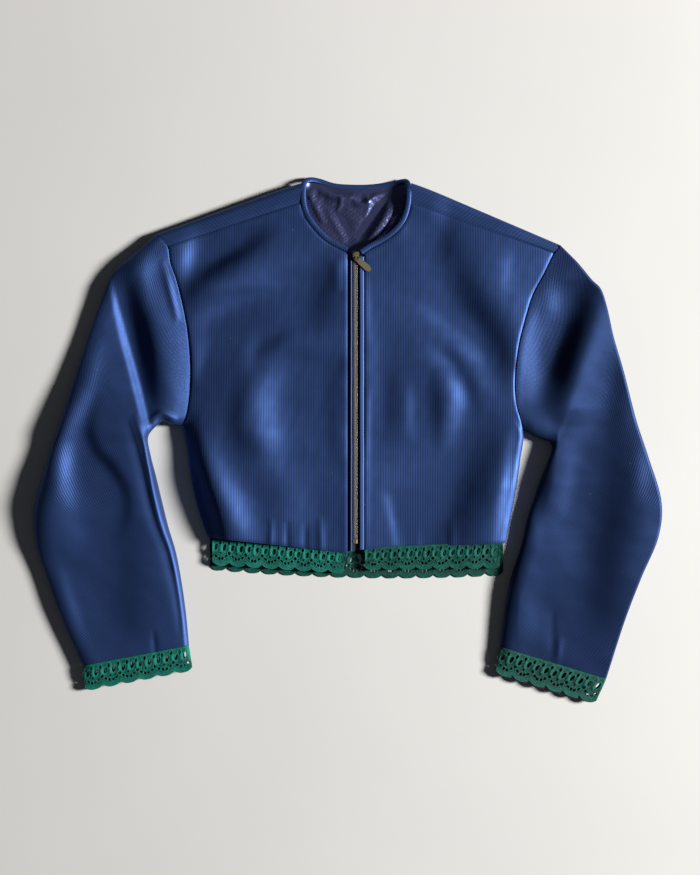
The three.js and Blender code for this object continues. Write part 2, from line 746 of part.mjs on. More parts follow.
// A strip that follows the centre front, with its height read from the body's surface
function frontStrip({ x0, x1, y0, y1, low, high, round, steps }) {
  const rings = [];
  for (let i = 0; i <= steps; i += 1) {
    const y = mix(y0, y1, i / steps);
    const z = bodyTop(ZIP_X, y);
    rings.push([
      [x0, y, z + low],
      [x1, y, z + low],
      [x1, y, z + high - round],
      [x1 - round, y, z + high],
      [x0 + round, y, z + high],
      [x0, y, z + high - round],
    ]);
  }
  return lofted(rings);
}

const ZIP_TOP = 239.8;
const ZIP_BOTTOM = -133.7;
const STRIP_STEPS = 14;
const BAND = { low: -1.5, steps: STRIP_STEPS };
const TAPE = { low: -2.8, high: -1.8, round: 0.2, steps: STRIP_STEPS };
const METAL = { y1: ZIP_BOTTOM, low: -1.5, steps: STRIP_STEPS };
const STRIPS = {
  front_band_right: { ...BAND, x0: 2.4, x1: 5.4, y0: 251, y1: -150, high: 0.5, round: 0.8 },
  front_band_left: { ...BAND, x0: 15.6, x1: 21.6, y0: 246.6, y1: -147.6, high: 0.9, round: 1.1 },
};
const TAPES = {
  zip_tape_right: { ...TAPE, x0: -4.6, x1: ZIP_X - 0.2, y0: 251, y1: -150 },
  zip_tape_left: { ...TAPE, x0: ZIP_X + 0.2, x1: 22.6, y0: 248, y1: -148 },
};
const CHAIN = { ...METAL, x0: ZIP_X - 3.3, x1: ZIP_X + 3.3, y0: ZIP_TOP, high: 0.5, round: 0.6 };
const STOP = {
  ...METAL,
  x0: ZIP_X - 2.9,
  x1: ZIP_X + 2.9,
  y0: ZIP_BOTTOM - SEAM,
  y1: -139.4,
  high: 0.9,
  round: 0.5,
  steps: 1,
};

// Zip slider with its bridge, and the pull that hangs on the bridge
const SLIDER = { x: 10.45, y: 246.6, low: -1.5, top: 1.7 };
const BRIDGE = { width: 2.2, foot: 1.2, under: 2, top: 3.3, front: 6.2, back: 4.2, leg: 1.1 };
const PULL = { x: 10.45, y: 245.2, rise: 1.05, thick: 0.9, turn: -41.4, droop: 3.7, length: 26.4 };

function toManifold(geometry) {
  const bare = geometry.clone();
  bare.deleteAttribute("normal");
  bare.deleteAttribute("uv");
  const merged = mergeVertices(bare, 1e-4);
  const vertProperties = new Float32Array(merged.attributes.position.array);
  const triVerts = new Uint32Array(merged.index.array);
  return new wasm.Manifold(new wasm.Mesh({ numProp: 3, vertProperties, triVerts }));
}

function fromManifold(body) {
  const mesh = body.getMesh();
  const geometry = new THREE.BufferGeometry();
  geometry.setAttribute("position", new THREE.BufferAttribute(new Float32Array(mesh.vertProperties), 3));
  geometry.setIndex(new THREE.BufferAttribute(new Uint32Array(mesh.triVerts), 1));
  return geometry;
}

const shapeOf = (points) => new THREE.Shape(points.map(([x, y]) => new THREE.Vector2(x, y)));

function slider() {
  const half = table("x y", [[4.6, 6.3], [4.6, 2.2], [3.2, -4.6], [2.3, -6.3]]);
  const outline = [...half.map((p) => [p.x, p.y]), ...half.slice().reverse().map((p) => [-p.x, p.y])];
  const high = SLIDER.top - SLIDER.low;
  const plate = new THREE.ExtrudeGeometry(shapeOf(outline), { depth: high, bevelEnabled: false });
  plate.translate(0, 0, SLIDER.low);
  const sunk = 0.6;
  const [front, back, leg] = [BRIDGE.front, -BRIDGE.back, BRIDGE.leg];
  const arch = shapeOf([
    [front, -sunk],
    [front, BRIDGE.top - 0.7],
    [front - 0.9, BRIDGE.top],
    [back + 1, BRIDGE.top],
    [back, BRIDGE.top - 1],
    [back, -sunk],
    [back + leg, -sunk],
    [back + leg, BRIDGE.under],
    [front - leg, BRIDGE.under],
    [front - leg, -sunk],
  ]);
  const bridge = new THREE.ExtrudeGeometry(arch, { depth: BRIDGE.width, bevelEnabled: false });
  bridge.translate(0, 0, -BRIDGE.width / 2);
  bridge.applyMatrix4(new THREE.Matrix4().set(0, 0, 1, 0, 1, 0, 0, 0, 0, 1, 0, SLIDER.top, 0, 0, 0, 1));
  const place = bridge.attributes.position;
  const narrow = BRIDGE.foot / BRIDGE.width;
  for (let i = 0; i < place.count; i += 1) {
    if (place.getY(i) < back + leg + 0.1) place.setX(i, place.getX(i) * narrow);
  }
  return fromManifold(toManifold(plate).add(toManifold(bridge)));
}

function pull() {
  const eye = { near: 0.45, far: 3.9, half: 2.7, rim: 0.85 };
  const end = PULL.length;
  const profile = table("x y", [
    [-eye.near, eye.half + eye.rim - 0.6],
    [0.3, eye.half + eye.rim],
    [eye.far, eye.half + eye.rim - 0.3],
    [eye.far + 2, 3.1],
    [eye.far + 5, 3.9],
    [end - 6, 4.2],
    [end - 2.6, 3.6],
    [end - 0.8, 2.3],
    [end, 0.8],
  ]);
  const outline = [...profile.map((p) => [p.x, p.y]), ...profile.slice().reverse().map((p) => [p.x, -p.y])];
  const shape = shapeOf(outline.reverse());
  const hole = [
    [eye.near, -eye.half],
    [eye.near, eye.half],
    [eye.far - 0.7, eye.half - 0.2],
    [eye.far, 1.4],
    [eye.far, -1.4],
    [eye.far - 0.7, -eye.half + 0.2],
  ];
  shape.holes.push(new THREE.Path(hole.map(([x, y]) => new THREE.Vector2(x, y))));
  const plate = new THREE.ExtrudeGeometry(shape, { depth: PULL.thick, bevelEnabled: false });
  plate.translate(0, 0, -PULL.thick / 2);
  return plate;
}

// Lace: a strip of scallops with two long eyelets in each, mapped from flat onto its place
const SCALLOP = table("u v", [[0, -5], [0.22, -1.2], [0.5, 0], [0.78, -1.2]]);
const EYELET = table("u v", [[0, -4.3], [2.2, -2.2], [2.2, 2.2], [0, 4.3], [-2.2, 2.2], [-2.2, -2.2]]);
const EYELET_PLACES = [0.27, 0.73];
const EYELET_DROP = 12;

// place(u, v) gives the upper surface: u from 0 to 1 along the seam, v in mm below it
function laceStrip(repeats, depth, place) {
  const length = repeats * LACE_PITCH;
  const outline = [];
  const seam = [0, 0.15, 0.45];
  for (let i = 1; i < repeats; i += 1) seam.push(i);
  seam.push(repeats - 0.45, repeats - 0.15, repeats);
  for (const mark of seam) outline.push([mark * LACE_PITCH, 0]);
  for (let i = repeats - 1; i >= 0; i -= 1) {
    outline.push([(i + 1) * LACE_PITCH, depth - 5]);
    for (const row of SCALLOP.slice(1).reverse()) outline.push([(i + row.u) * LACE_PITCH, depth + row.v]);
  }
  outline.push([0, depth - 5]);
  const rings = [outline];
  for (let i = 0; i < repeats; i += 1) {
    for (const share of EYELET_PLACES) {
      const centre = (i + share) * LACE_PITCH;
      rings.push(EYELET.map((row) => [centre + row.u, EYELET_DROP + row.v]));
    }
  }
  const placed = rings.map((ring) => ring.map(([run, down]) => place(run / length, down)));
  const [edge, ...holes] = placed.map((ring) => ring.map((point) => new THREE.Vector2(point.x, point.y)));
  const faces = THREE.ShapeUtils.triangulateShape(edge, holes);
  const top = placed.flat().map((point) => [point.x, point.y, point.z]);
  const low = placed.flat().map((point) => [point.x, point.y, point.z - LACE]);
  return closed(top, low, faces);
}

// Front hem lace: held under the front's hem edge and lying a little lower at its scallops
const HEM_TUCK = 3;

function frontLace(side) {
  const lace = side.laceFront;
  const count = Math.round(Math.abs(lace.x1 - lace.x0) / LACE_PITCH);
  const longest = Math.max(lace.drop, lace.fall) + HEM_TUCK;
  return laceStrip(count, longest, (u, v) => {
    const depth = mix(lace.drop, lace.fall, u) + HEM_TUCK;
    const down = (v / longest) * depth;
    const x = mix(lace.x0, lace.x1, u);
    const y = mix(lace.y0, lace.y1, u) + HEM_TUCK + 1.5 - down;
    const z = mix(7.9, 7.6, smooth(down / 30));
    return { x, y, z };
  });
}

// Back hem lace: it lies on the floor below the back panel's hem, in a wave that is barely felt
const BACK_LACE = { repeats: 17, depth: 38, inset: 2.5, bow: 14, waves: 5, wave: 0.12 };

function backLace() {
  const start = RIGHT.sideEdge.at(0);
  const end = LEFT.sideEdge.at(0);
  return laceStrip(BACK_LACE.repeats, BACK_LACE.depth, (u, v) => {
    const x = mix(start.x + BACK_LACE.inset, end.x - BACK_LACE.inset, u);
    const chord = mix(start.y, end.y, u) - SEAM * 2 - BACK_LACE.bow * 4 * u * (1 - u);
    const depth = mix(1.16, 0.98, 4 * u * (1 - u));
    const z = LACE + BACK_LACE.wave * (1 + Math.sin(2 * Math.PI * BACK_LACE.waves * u));
    return { x, y: chord - v * depth, z };
  });
}

// Cuff lace, upper and under: it carries the sleeve's end on and flattens out
const CUFF = { repeats: 6, depth: 35.2, gap: 0.4, endTop: 7 };

function cuffLace(side, upper) {
  const { outer, inner } = side.cuffDepth;
  const total = side.armhole.total;
  const across = side === RIGHT ? 1 : -1;
  return laceStrip(CUFF.repeats, CUFF.depth, (u, v) => {
    const share = across > 0 ? u : 1 - u;
    const d = mix(1, total - 1, share);
    const edge = sleeveSurface(side, 1, d, upper).outer;
    const dx = mix(outer[0], inner[0], share) / CUFF.depth;
    const dy = mix(outer[1], inner[1], share) / CUFF.depth;
    const down = v + CUFF.gap;
    const p = sleevePoint(side, 1, d);
    const round = rise(p.out, p.row.out) * rise(p.in, p.row.in);
    const middle = p.row.side + (upper ? SEAM + LACE : -SEAM);
    const start = upper ? Math.max(edge[2], middle) : Math.min(edge[2] + LACE, middle);
    const flat = upper ? mix(middle, CUFF.endTop + 1.4, round) : mix(middle, LACE, round);
    return { x: edge[0] + dx * down, y: edge[1] + dy * down, z: mix(start, flat, smooth(v / CUFF.depth)) };
  });
}

// The jacket, piece by piece
addCloth("back", backPanel());
for (const side of [RIGHT, LEFT]) {
  addCloth(`front_${side.name}`, frontPanel(side));
  addCloth(`sleeve_upper_${side.name}`, sleeve(side, true));
  addCloth(`sleeve_under_${side.name}`, sleeve(side, false));
}
addCloth("neck_binding", neckBinding());
for (const [name, strip] of Object.entries(STRIPS)) addCloth(name, frontStrip(strip));
add("lining_back", backLining(), 0x3a3f6e, 0.3, 0);
for (const [name, strip] of Object.entries(TAPES)) add(name, frontStrip(strip), 0x0c0e16, 0.9, 0);
addBrass("zip_chain", frontStrip(CHAIN));
addBrass("zip_bottom_stop", frontStrip(STOP));

const sliderZ = bodyTop(ZIP_X, SLIDER.y);
addBrass("zip_slider", slider()).position.set(SLIDER.x, SLIDER.y, sliderZ);
const pullMesh = addBrass("zip_pull", pull());
pullMesh.position.set(PULL.x, PULL.y, sliderZ + SLIDER.top + PULL.rise);
pullMesh.rotation.order = "ZYX";
pullMesh.rotation.z = THREE.MathUtils.degToRad(PULL.turn);
pullMesh.rotation.y = THREE.MathUtils.degToRad(PULL.droop);

addLace("hem_lace_back", backLace());
for (const side of [RIGHT, LEFT]) {
  addLace(`hem_lace_front_${side.name}`, frontLace(side));
  addLace(`cuff_lace_upper_${side.name}`, cuffLace(side, true));
  addLace(`cuff_lace_under_${side.name}`, cuffLace(side, false));
}

export default group;
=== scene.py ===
"""Cropped zip-front jacket in navy corded satin, with green guipure lace at the hem and cuffs.

It lies flat on its back. Tables and sizes are in millimetres, in the frame of the solids: the underside
rests on Z = 0 and the neck points to +Y. Right and left are the wearer's own, so the right sleeve lies
on the -X side. Meshes are in metres.
"""
import math

import bpy
import numpy as np
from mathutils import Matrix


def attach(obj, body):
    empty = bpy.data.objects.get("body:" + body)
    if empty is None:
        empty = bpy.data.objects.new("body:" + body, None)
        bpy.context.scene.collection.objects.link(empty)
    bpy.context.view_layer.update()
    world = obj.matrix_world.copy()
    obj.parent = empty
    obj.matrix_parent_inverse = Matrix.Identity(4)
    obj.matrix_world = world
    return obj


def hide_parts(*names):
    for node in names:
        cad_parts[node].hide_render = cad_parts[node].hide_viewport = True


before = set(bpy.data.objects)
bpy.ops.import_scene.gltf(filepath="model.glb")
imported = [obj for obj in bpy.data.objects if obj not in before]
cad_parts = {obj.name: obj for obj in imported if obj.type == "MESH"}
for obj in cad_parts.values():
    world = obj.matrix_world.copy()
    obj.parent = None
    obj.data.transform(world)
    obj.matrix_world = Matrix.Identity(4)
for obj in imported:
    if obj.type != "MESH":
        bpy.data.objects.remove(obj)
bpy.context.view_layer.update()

MM = 0.001

# Driving dimensions
CLOTH = 1.5  # corded satin with its interlining
LINING = 1.0
LACE = 1.0
SEAM = 0.3  # clearance between neighbouring pieces
FOLD_Z = 7.3  # height of the shoulder fold's crest
FOLD_RADIUS = 9.0  # how far the shoulder fold rounds over
SIDE_Z = 7.5  # height of the side seams
ARMHOLE_Z = 14.5  # height of the armhole seam on the upper layer
UNDERARM_RADIUS = 27.0  # how far the armhole seam dips towards the underarm
ZIP_X = 9.5  # centre line of the zip
CENTRE_HALF = 240.0  # half of the body's width, for its height table
LACE_PITCH = 23.0  # one scallop of the lace
CORD_PITCH = 3.35  # one cord of the satin
FINE_CORD_PITCH = 2.9  # one cord of the sleeves' and the binding's satin
HEM_BOW = 14.0  # how far the back's hem dips below the straight line between the side seams


def mix(a, b, share):
    """The value a share of the way from a to b."""
    return a + (b - a) * share


def smooth(share):
    """Eased share, 3s^2 - 2s^3 between 0 and 1."""
    s = np.clip(share, 0, 1)
    return s * s * (3 - 2 * s)


def table(columns, rows):
    """Named columns of a short table, each as an array."""
    values = np.array(rows, float)
    return {name: values[:, k] for k, name in enumerate(columns.split())}


def along(rows, share):
    """Catmull-Rom value of every column, share 0 at the first row and 1 at the last."""
    count = len(next(iter(rows.values())))
    place = np.clip(share, 0, 1) * (count - 1)
    i = np.minimum(np.floor(place).astype(int), count - 2)
    f = place - i
    near = [np.clip(i + k, 0, count - 1) for k in (-1, 0, 1, 2)]
    result = {}
    for name, column in rows.items():
        a, b, c, d = (column[k] for k in near)
        cubic = 2 * a - 5 * b + 4 * c - d + f * (3 * (b - c) + d - a)
        result[name] = b + 0.5 * f * (c - a + f * cubic)
    return result


class Measured:
    """A smooth curve through x and y points that is read by length from its start."""

    def __init__(self, points):
        dense = along(table("x y", points), np.linspace(0, 1, 481))
        self.x, self.y = dense["x"], dense["y"]
        steps = np.hypot(np.diff(self.x), np.diff(self.y))
        self.length = np.concatenate([[0], np.cumsum(steps)])
        self.total = self.length[-1]

    def at(self, length):
        return np.interp(length, self.length, self.x), np.interp(length, self.length, self.y)


def rise(distance, radius):
    """Height of a rounded edge: a quarter circle from 0 on the edge to 1 at the radius."""
    return np.sqrt(np.maximum(1 - np.maximum(1 - distance / radius, 0) ** 2, 0))


def lean(distance, radius):
    """Share from 1 on an edge down to 0 at the radius."""
    return np.clip(1 - distance / radius, 0, 1)


def crease_height(creases, x, y, ends=0.5):
    """Sum of soft ridges and troughs. Each is a curve through a few points; across it the height falls
    off as exp(-(distance / width)^2), with a width of its own on the curve's left and right, and along
    it the height fades in and out as sin(pi * share) to the power of ends."""
    total = np.zeros(np.broadcast(x, y).shape)
    for height, left, right, points in creases:
        curve = Measured(points)
        marks = np.linspace(0, curve.total, 5 * len(points))
        px, py = curve.at(marks)
        best = np.full(total.shape, np.inf)
        across = np.zeros(total.shape)
        place = np.zeros(total.shape)
        reach = 3 * max(left, right)
        near = (x > px.min() - reach) & (x < px.max() + reach)
        near = near & (y > py.min() - reach) & (y < py.max() + reach)
        xs, ys = np.broadcast_to(x, total.shape)[near], np.broadcast_to(y, total.shape)[near]
        best, across, place = best[near], across[near], place[near]
        for k in range(len(marks) - 1):
            run = marks[k + 1] - marks[k]
            ux, uy = (px[k + 1] - px[k]) / run, (py[k + 1] - py[k]) / run
            t = np.clip((xs - px[k]) * ux + (ys - py[k]) * uy, 0, run)
            dx, dy = xs - px[k] - t * ux, ys - py[k] - t * uy
            distance = np.hypot(dx, dy)
            closer = distance < best
            side = np.sign(ux * dy - uy * dx)
            best = np.where(closer, distance, best)
            across = np.where(closer, side * distance, across)
            place = np.where(closer, marks[k] + t, place)
        width = np.where(across > 0, left, right)
        fade = np.sin(np.pi * np.clip(place / curve.total, 0.0, 1.0)) ** ends
        total[near] += height * fade * np.exp(-((across / width) ** 2))
    return total


def ripple(x, y, size, seed, count=7):
    """Even, soft unevenness from -1 to 1: a sum of sines in seeded directions."""
    random = np.random.default_rng(seed)
    total = 0.0
    for _ in range(count):
        angle, phase = random.uniform(0, 2 * np.pi, 2)
        scale = 2 * np.pi / (size * random.uniform(0.7, 1.6))
        total = total + np.sin((x * np.cos(angle) + y * np.sin(angle)) * scale + phase)
    return total / count


LOWEST_LAYER = 4.2  # height of an upper layer that is pressed down on the one below it
DRAPE_STEP = 2.0  # spacing of a drape's grid


def held_up(height, softness=3.0):
    """The height, eased so that an upper layer never sinks through the one below it."""
    above = height - LOWEST_LAYER
    return LOWEST_LAYER + 0.5 * (above + np.hypot(above, softness))


class Drape:
    """Heights of a laid layer, from its slopes. A band of slope is a curve with its fall towards +X and its
    width. The falls are summed along each row of a grid; every row is then sheared between its pins, the
    places where the cloth is held, by the share in hold of what each is off."""

    def __init__(self, bands, x_range, y_range, pins, hold):
        self.x, self.y = np.arange(*x_range, DRAPE_STEP), np.arange(*y_range, DRAPE_STEP)
        creases = [(fall, width, width, path) for fall, width, path in bands]
        fall = crease_height(creases, self.x[None, :], self.y[:, None], 1.0)
        height = -np.cumsum(fall, axis=1) * DRAPE_STEP
        places = np.stack([np.interp(self.y, at_y, at_x) for at_x, at_y in pins])
        off = np.stack([[np.interp(p, self.x, row) for p, row in zip(pin, height)] for pin in places])
        first = off[int(np.argmax(hold))]
        off = first + (off - first) * np.array(hold)[:, None]
        places, off = self.evened(places), self.evened(off)
        for j in range(len(self.y)):
            height[j] -= np.interp(self.x, places[:, j], off[:, j])
        self.height = self.evened(height.T, 5).T

    @staticmethod
    def evened(rows, window=11):
        """Moving average along each row, with its ends repeated."""
        padded = np.pad(rows, ((0, 0), (window // 2, window // 2)), mode="edge")
        total = np.cumsum(np.pad(padded, ((0, 0), (1, 0))), axis=1)
        return (total[:, window:] - total[:, :-window]) / window

    def at(self, x, y):
        i = np.clip((x - self.x[0]) / DRAPE_STEP, 0, len(self.x) - 1.01)
        j = np.clip((y - self.y[0]) / DRAPE_STEP, 0, len(self.y) - 1.01)
        a, b = i.astype(int), j.astype(int)
        low = mix(self.height[b, a], self.height[b, a + 1], i - a)
        high = mix(self.height[b + 1, a], self.height[b + 1, a + 1], i - a)
        return mix(low, high, j - b)


# Tables of the body, in the order hem to neck
BODY_HEIGHT = table("y centre middle side", [
    [-155, 10, 10, 9.6],
    [-110, 11.2, 12, 11.2],
    [-40, 13.0, 15.0, 13.5],
    [60, 15.0, 17.5, 15.5],
    [150, 15.5, 18.0, 15.5],
    [230, 15.5, 17.0, 15.0],
    [300, 15.0, 15.5, 14.5],
    [360, 14.5, 14.5, 14.5],
])

# Slopes of the fronts: fall towards +X, width and the band's path
FRONT_SLOPES = [
    [0.40, 14, [(-205, 292), (-213, 250), (-222, 205)]],
    [-0.42, 13, [(-229, 170), (-207, 205), (-180, 230), (-143, 252), (-112, 275), (-90, 298)]],
    [0.26, 17, [(-212, 112), (-198, 156), (-170, 186), (-132, 206), (-66, 230)]],
    [0.20, 10, [(-191, 144), (-199, 111), (-208, 75)]],
    [0.16, 8, [(-118, 150), (-131, 118), (-136, 80)]],
    [-0.18, 10, [(-72, 150), (-103, 128), (-126, 108)]],
    [-0.24, 13, [(-132, 100), (-146, 50), (-148, 10), (-128, -30)]],
    [0.34, 24, [(-64, 120), (-98, 84), (-110, 52), (-104, 16), (-94, -20), (-82, -64)]],
    [-0.24, 20, [(-20, 266), (-30, 206), (-40, 136)]],
    [-0.14, 11, [(-14, 125), (-21, 54), (-14, -44)]],
    [0.42, 22, [(-196, 14), (-182, -24), (-164, -60), (-146, -95), (-132, -130), (-120, -180)]],
    [-0.70, 15, [(-220, 50), (-212, 10), (-202, -27), (-187, -74), (-174, -122), (-166, -190)]],
    [0.16, 34, [(-72, -20), (-64, -100), (-60, -185)]],
    [-0.12, 10, [(-144, 24), (-128, 0), (-118, -30)]],
    [0.14, 12, [(68, 342), (73, 304), (84, 264)]],
    [0.14, 10, [(131, 334), (126, 284)]],
    [-0.18, 14, [(142, 300), (132, 230)]],
    [-0.40, 24, [(148, 290), (158, 216), (180, 172), (204, 134), (221, 95), (227, 40)]],
    [0.13, 9, [(216, 262), (213, 188)]],
    [0.24, 12, [(84, 190), (124, 158), (155, 134), (181, 104), (194, 56)]],
    [-0.20, 9, [(128, 132), (151, 100), (168, 68), (176, 30)]],
    [0.29, 13, [(100, 130), (130, 102), (146, 74), (150, 50), (142, 16), (132, -28)]],
    [-0.26, 10, [(117, 100), (121, 40), (123, -20)]],
    [0.18, 8, [(85, 82), (86, -6)]],
    [0.14, 13, [(26, 224), (33, 148), (36, 68), (24, -40)]],
    [-0.14, 12, [(60, 110), (62, 40), (60, -20)]],
    [-0.46, 40, [(226, 50), (184, -40), (156, -96), (128, -190)]],
    [-0.20, 10, [(115, -66), (116, -185)]],
    [0.38, 8, [(50, -64), (64, -108), (73, -170)]],
    [0.40, 11, [(226, 36), (216, -40), (207, -110), (200, -175)]],
]

# Small creases of the fronts: height, width on the left and right of the path, and its points
FRONT_CREASES = [
    [1.5, 10, 6, [(-216, 148), (-213, 108), (-209, 70)]],
    [1.2, 6, 8, [(-16, 243), (-14, 221), (-14, 197)]],
    [1.2, 4, 4, [(-103, -105), (-105, -175)]],
    [-1.2, 4, 4, [(-82, -108), (-82, -175)]],
    [-1.1, 4, 5, [(-57, -111), (-58, -175)]],
    [1.3, 5, 5, [(-38, -103), (-35, -175)]],
    [1.2, 5, 4, [(24, 70), (23, 27), (22, -27)]],
    [-1.2, 4, 4, [(76, -105), (82, -175)]],
    [1.4, 3.5, 3.5, [(93, -112), (94, -175)]],
    [-1.4, 4, 4, [(101, -105), (104, -175)]],
    [1.0, 6, 6, [(140, -105), (140, -175)]],
]

SLEEVE_COLUMNS = "ox oy ix iy crest side out in"
SLEEVE_DRAPE_Y = (-330, 300)  # rows that a sleeve's drape covers


class Side:
    """One side of the jacket. Its outlines run upwards, and its sleeve's rows from the armhole to the cuff. A
    row holds the outer and inner edge (ox, oy, ix, iy), the heights of the crest and of the edges, and how
    far the sleeve rounds over from its outer and inner edge (out, in)."""

    def __init__(self, **values):
        self.__dict__.update(values)
        for name in ("side_edge", "armhole", "neckline"):
            setattr(self, name, Measured(getattr(self, name)))
        self.sleeve = table(SLEEVE_COLUMNS, self.sleeve)
        rows = along(self.sleeve, np.linspace(1, 0, 121))
        below = rows["iy"] < self.armhole.y[-1] - 2
        inner = [np.concatenate([rows["i" + k][below], getattr(self.armhole, k)[::-1]]) for k in "xy"]
        outer = [rows["ox"], rows["oy"]]
        self.edge = [np.concatenate([getattr(self.side_edge, k), getattr(self.armhole, k)[::-1]]) for k in "xy"]
        pins, hold = [inner, outer], [1.0, self.outer_hold]
        if inner[0][0] < 0:
            pins, hold = pins[::-1], hold[::-1]
        reach = sorted([self.sleeve["ox"][0] * 0.8, self.sleeve["ox"][8] * 1.05])
        self.drape = Drape(self.sleeve_slopes, reach, SLEEVE_DRAPE_Y, pins, hold)


RIGHT = Side(
    name="right",
    front_x=-1,
    hem_y=-152.5,
    neck_y=252,
    shoulder_neck=(-64.3, 320.1),
    fold_neck=(-65, 347.6),
    seam_end=23,
    seam_shift=-0.4,
    flank=30.0,
    to_binding=4.5,
    rounding=(1.2, 0.5),
    outer_hold=0.5,
    side_edge=[[-189.5, -131], [-202, -94.5], [-211, -57.6], [-217.5, -11], [-224.1, 19.6]],
    armhole=[
        [-257.9, 278.1], [-243, 260.5], [-239, 238], [-231.5, 216.9], [-222.1, 179.1],
        [-215.5, 141.2], [-212.2, 99.6], [-213.6, 61.7], [-217.4, 35.2], [-224.1, 19.6],
    ],
    neckline=[[-2.3, 252], [-15, 258.1], [-31.1, 267.8], [-46.3, 283], [-58.7, 301.1], [-64.3, 320.1]],
    sleeve=[
        [-257.9, 278.1, -224.1, 19.6, 14.5, 7.3, 9, 27],
        [-290, 251, -237.6, 20.3, 19, 8.5, 16, 22],
        [-318.6, 222.8, -248.4, 25, 20, 10, 22, 18],
        [-334.8, 182.3, -257, 20.3, 20, 11, 24, 18],
        [-349, 142, -269.3, 4, 20, 11, 26, 18],
        [-370, 81, -266, -20.3, 20, 11, 28, 20],
        [-391, 20, -258.5, -50, 20, 10.5, 28, 20],
        [-410.4, -40.5, -251.1, -81, 20.5, 10, 26, 20],
        [-424, -95, -242, -118, 20, 9.5, 24, 20],
        [-421.2, -141.8, -232, -152, 19, 9, 22, 20],
        [-407.7, -182.3, -224, -195, 18, 8.5, 22, 18],
        [-388, -238, -218.5, -236, 16.5, 8, 20, 16],
        [-358.4, -303.8, -214.9, -276.1, 14, 7, 16, 14],
    ],
    sleeve_slopes=[
        [-0.66, 14, [(-300, 258), (-290, 210), (-274, 150), (-264, 94), (-258, 40), (-256, 10)]],
        [1.35, 4.2, [(-324, 240), (-306, 155), (-285, 77), (-266, 0), (-255, -72), (-234, -173)]],
        [0.16, 10, [(-262, 262), (-268, 222), (-264, 170)]],
        [0.60, 16, [(-352, 74), (-374, 14), (-381, -27), (-370, -104)]],
        [0.20, 12, [(-331, 140), (-346, 68), (-366, 20)]],
        [-0.36, 9, [(-330, 70), (-345, 20), (-338, -12), (-316, -36), (-299, -64), (-294, -96), (-308, -140)]],
        [0.18, 20, [(-380, -60), (-358, -160)]],
        [0.18, 9, [(-390, -164), (-369, -230), (-354, -280)]],
        [-0.18, 28, [(-292, -88), (-294, -216), (-292, -300)]],
        [0.20, 5, [(-233, -145), (-224, -285)]],
    ],
    sleeve_creases=[
        [3, 5, 6, [(-248, 243), (-238, 202), (-227, 159)]],
        [2, 4, 4, [(-267, 27), (-250, 36), (-230, 26)]],
        [-1.8, 4, 8, [(-297, 31), (-279, -31), (-262, -101), (-243, -153), (-231, -204), (-223, -259)]],
        [2, 4, 4, [(-286, 35), (-271, -14), (-254, -88), (-236, -153), (-227, -202), (-220, -265)]],
        [-1, 4, 4, [(-262, -256), (-259, -294)]],
    ],
    cuff_drop=[(3.4, -35.1), (5.6, -34.9)],
    lace_front=dict(x0=-183, y0=-134.6, x1=-5, y1=-154.2, drop=36, fall=28),
)

LEFT = Side(
    name="left",
    front_x=22,
    hem_y=-148,
    neck_y=249.6,
    shoulder_neck=(85, 318.6),
    fold_neck=(87.3, 348.3),
    seam_end=15,
    seam_shift=0.4,
    flank=9.0,
    to_binding=-6.0,
    rounding=(0.18, 1.2),
    outer_hold=1.0,
    side_edge=[[212.4, -139], [219.5, -104], [227.5, -64], [233, -24], [236.8, 0], [236.3, 12.7]],
    armhole=[
        [286.2, 263.3], [276.8, 251.1], [263.3, 223.6], [248.4, 195.2], [236.9, 157.3],
        [229.4, 125.1], [224.9, 85], [226.6, 50], [236.3, 12.7],
    ],
    neckline=[[20, 249.6], [28.1, 255.4], [45.9, 265], [63.9, 277.4], [79, 296.7], [85, 318.6]],
    sleeve=[
        [286.2, 263.3, 236.3, 12.7, 14.5, 7.3, 9, 27],
        [310.5, 239, 251, 5, 15.5, 8.5, 16, 22],
        [328.5, 217, 263.3, 1, 16, 10, 20, 18],
        [341.5, 203, 271, -2, 16.5, 11, 22, 18],
        [349.5, 178, 275, -9, 17.5, 11, 24, 18],
        [358, 140, 273, -20, 18, 11, 26, 18],
        [372, 92, 266, -37, 19, 11, 28, 20],
        [388.4, 28.5, 257.5, -58, 19, 10.5, 28, 20],
        [405, -22, 250.5, -80, 19, 10, 26, 20],
        [422.6, -81, 242.5, -104, 18.5, 9.5, 24, 20],
        [419, -130, 233.3, -144.5, 18, 9, 22, 20],
        [395.6, -185.8, 219.5, -187, 19, 8.5, 22, 18],
        [374, -243, 211.5, -230, 16.5, 8, 20, 16],
        [349, -321.3, 205.7, -278, 14, 7, 16, 14],
    ],
    sleeve_slopes=[
        [-0.75, 17, [(336, 232), (318, 175), (300, 125), (286, 75), (274, 18)]],
        [0.36, 17, [(258, 176), (246, 108), (248, 42)]],
        [0.26, 12, [(285, 216), (272, 160)]],
        [0.14, 22, [(345, 150), (326, 94), (312, 34), (305, -40)]],
        [-0.20, 14, [(372, 128), (366, 61), (354, -14)]],
        [-0.34, 30, [(376, 26), (362, -81), (350, -170), (336, -285)]],
        [0.18, 12, [(392, 20), (398, -40), (392, -90)]],
        [0.16, 14, [(300, 14), (296, -54), (280, -128)]],
        [0.18, 12, [(258, -60), (250, -150)]],
        [-0.20, 8, [(276, -20), (266, -70), (256, -120)]],
        [0.14, 18, [(252, -184), (240, -298)]],
    ],
    sleeve_creases=[
        [-0.7, 5, 8, [(275, -227), (277, -294)]],
        [0.8, 5, 5, [(285, -265), (281, -302)]],
    ],
    cuff_drop=[(-15.1, -35.1), (-7.7, -37.2)],
    lace_front=dict(x0=23, y0=-149.8, x1=205, y1=-141.2, drop=28, fall=34),
)


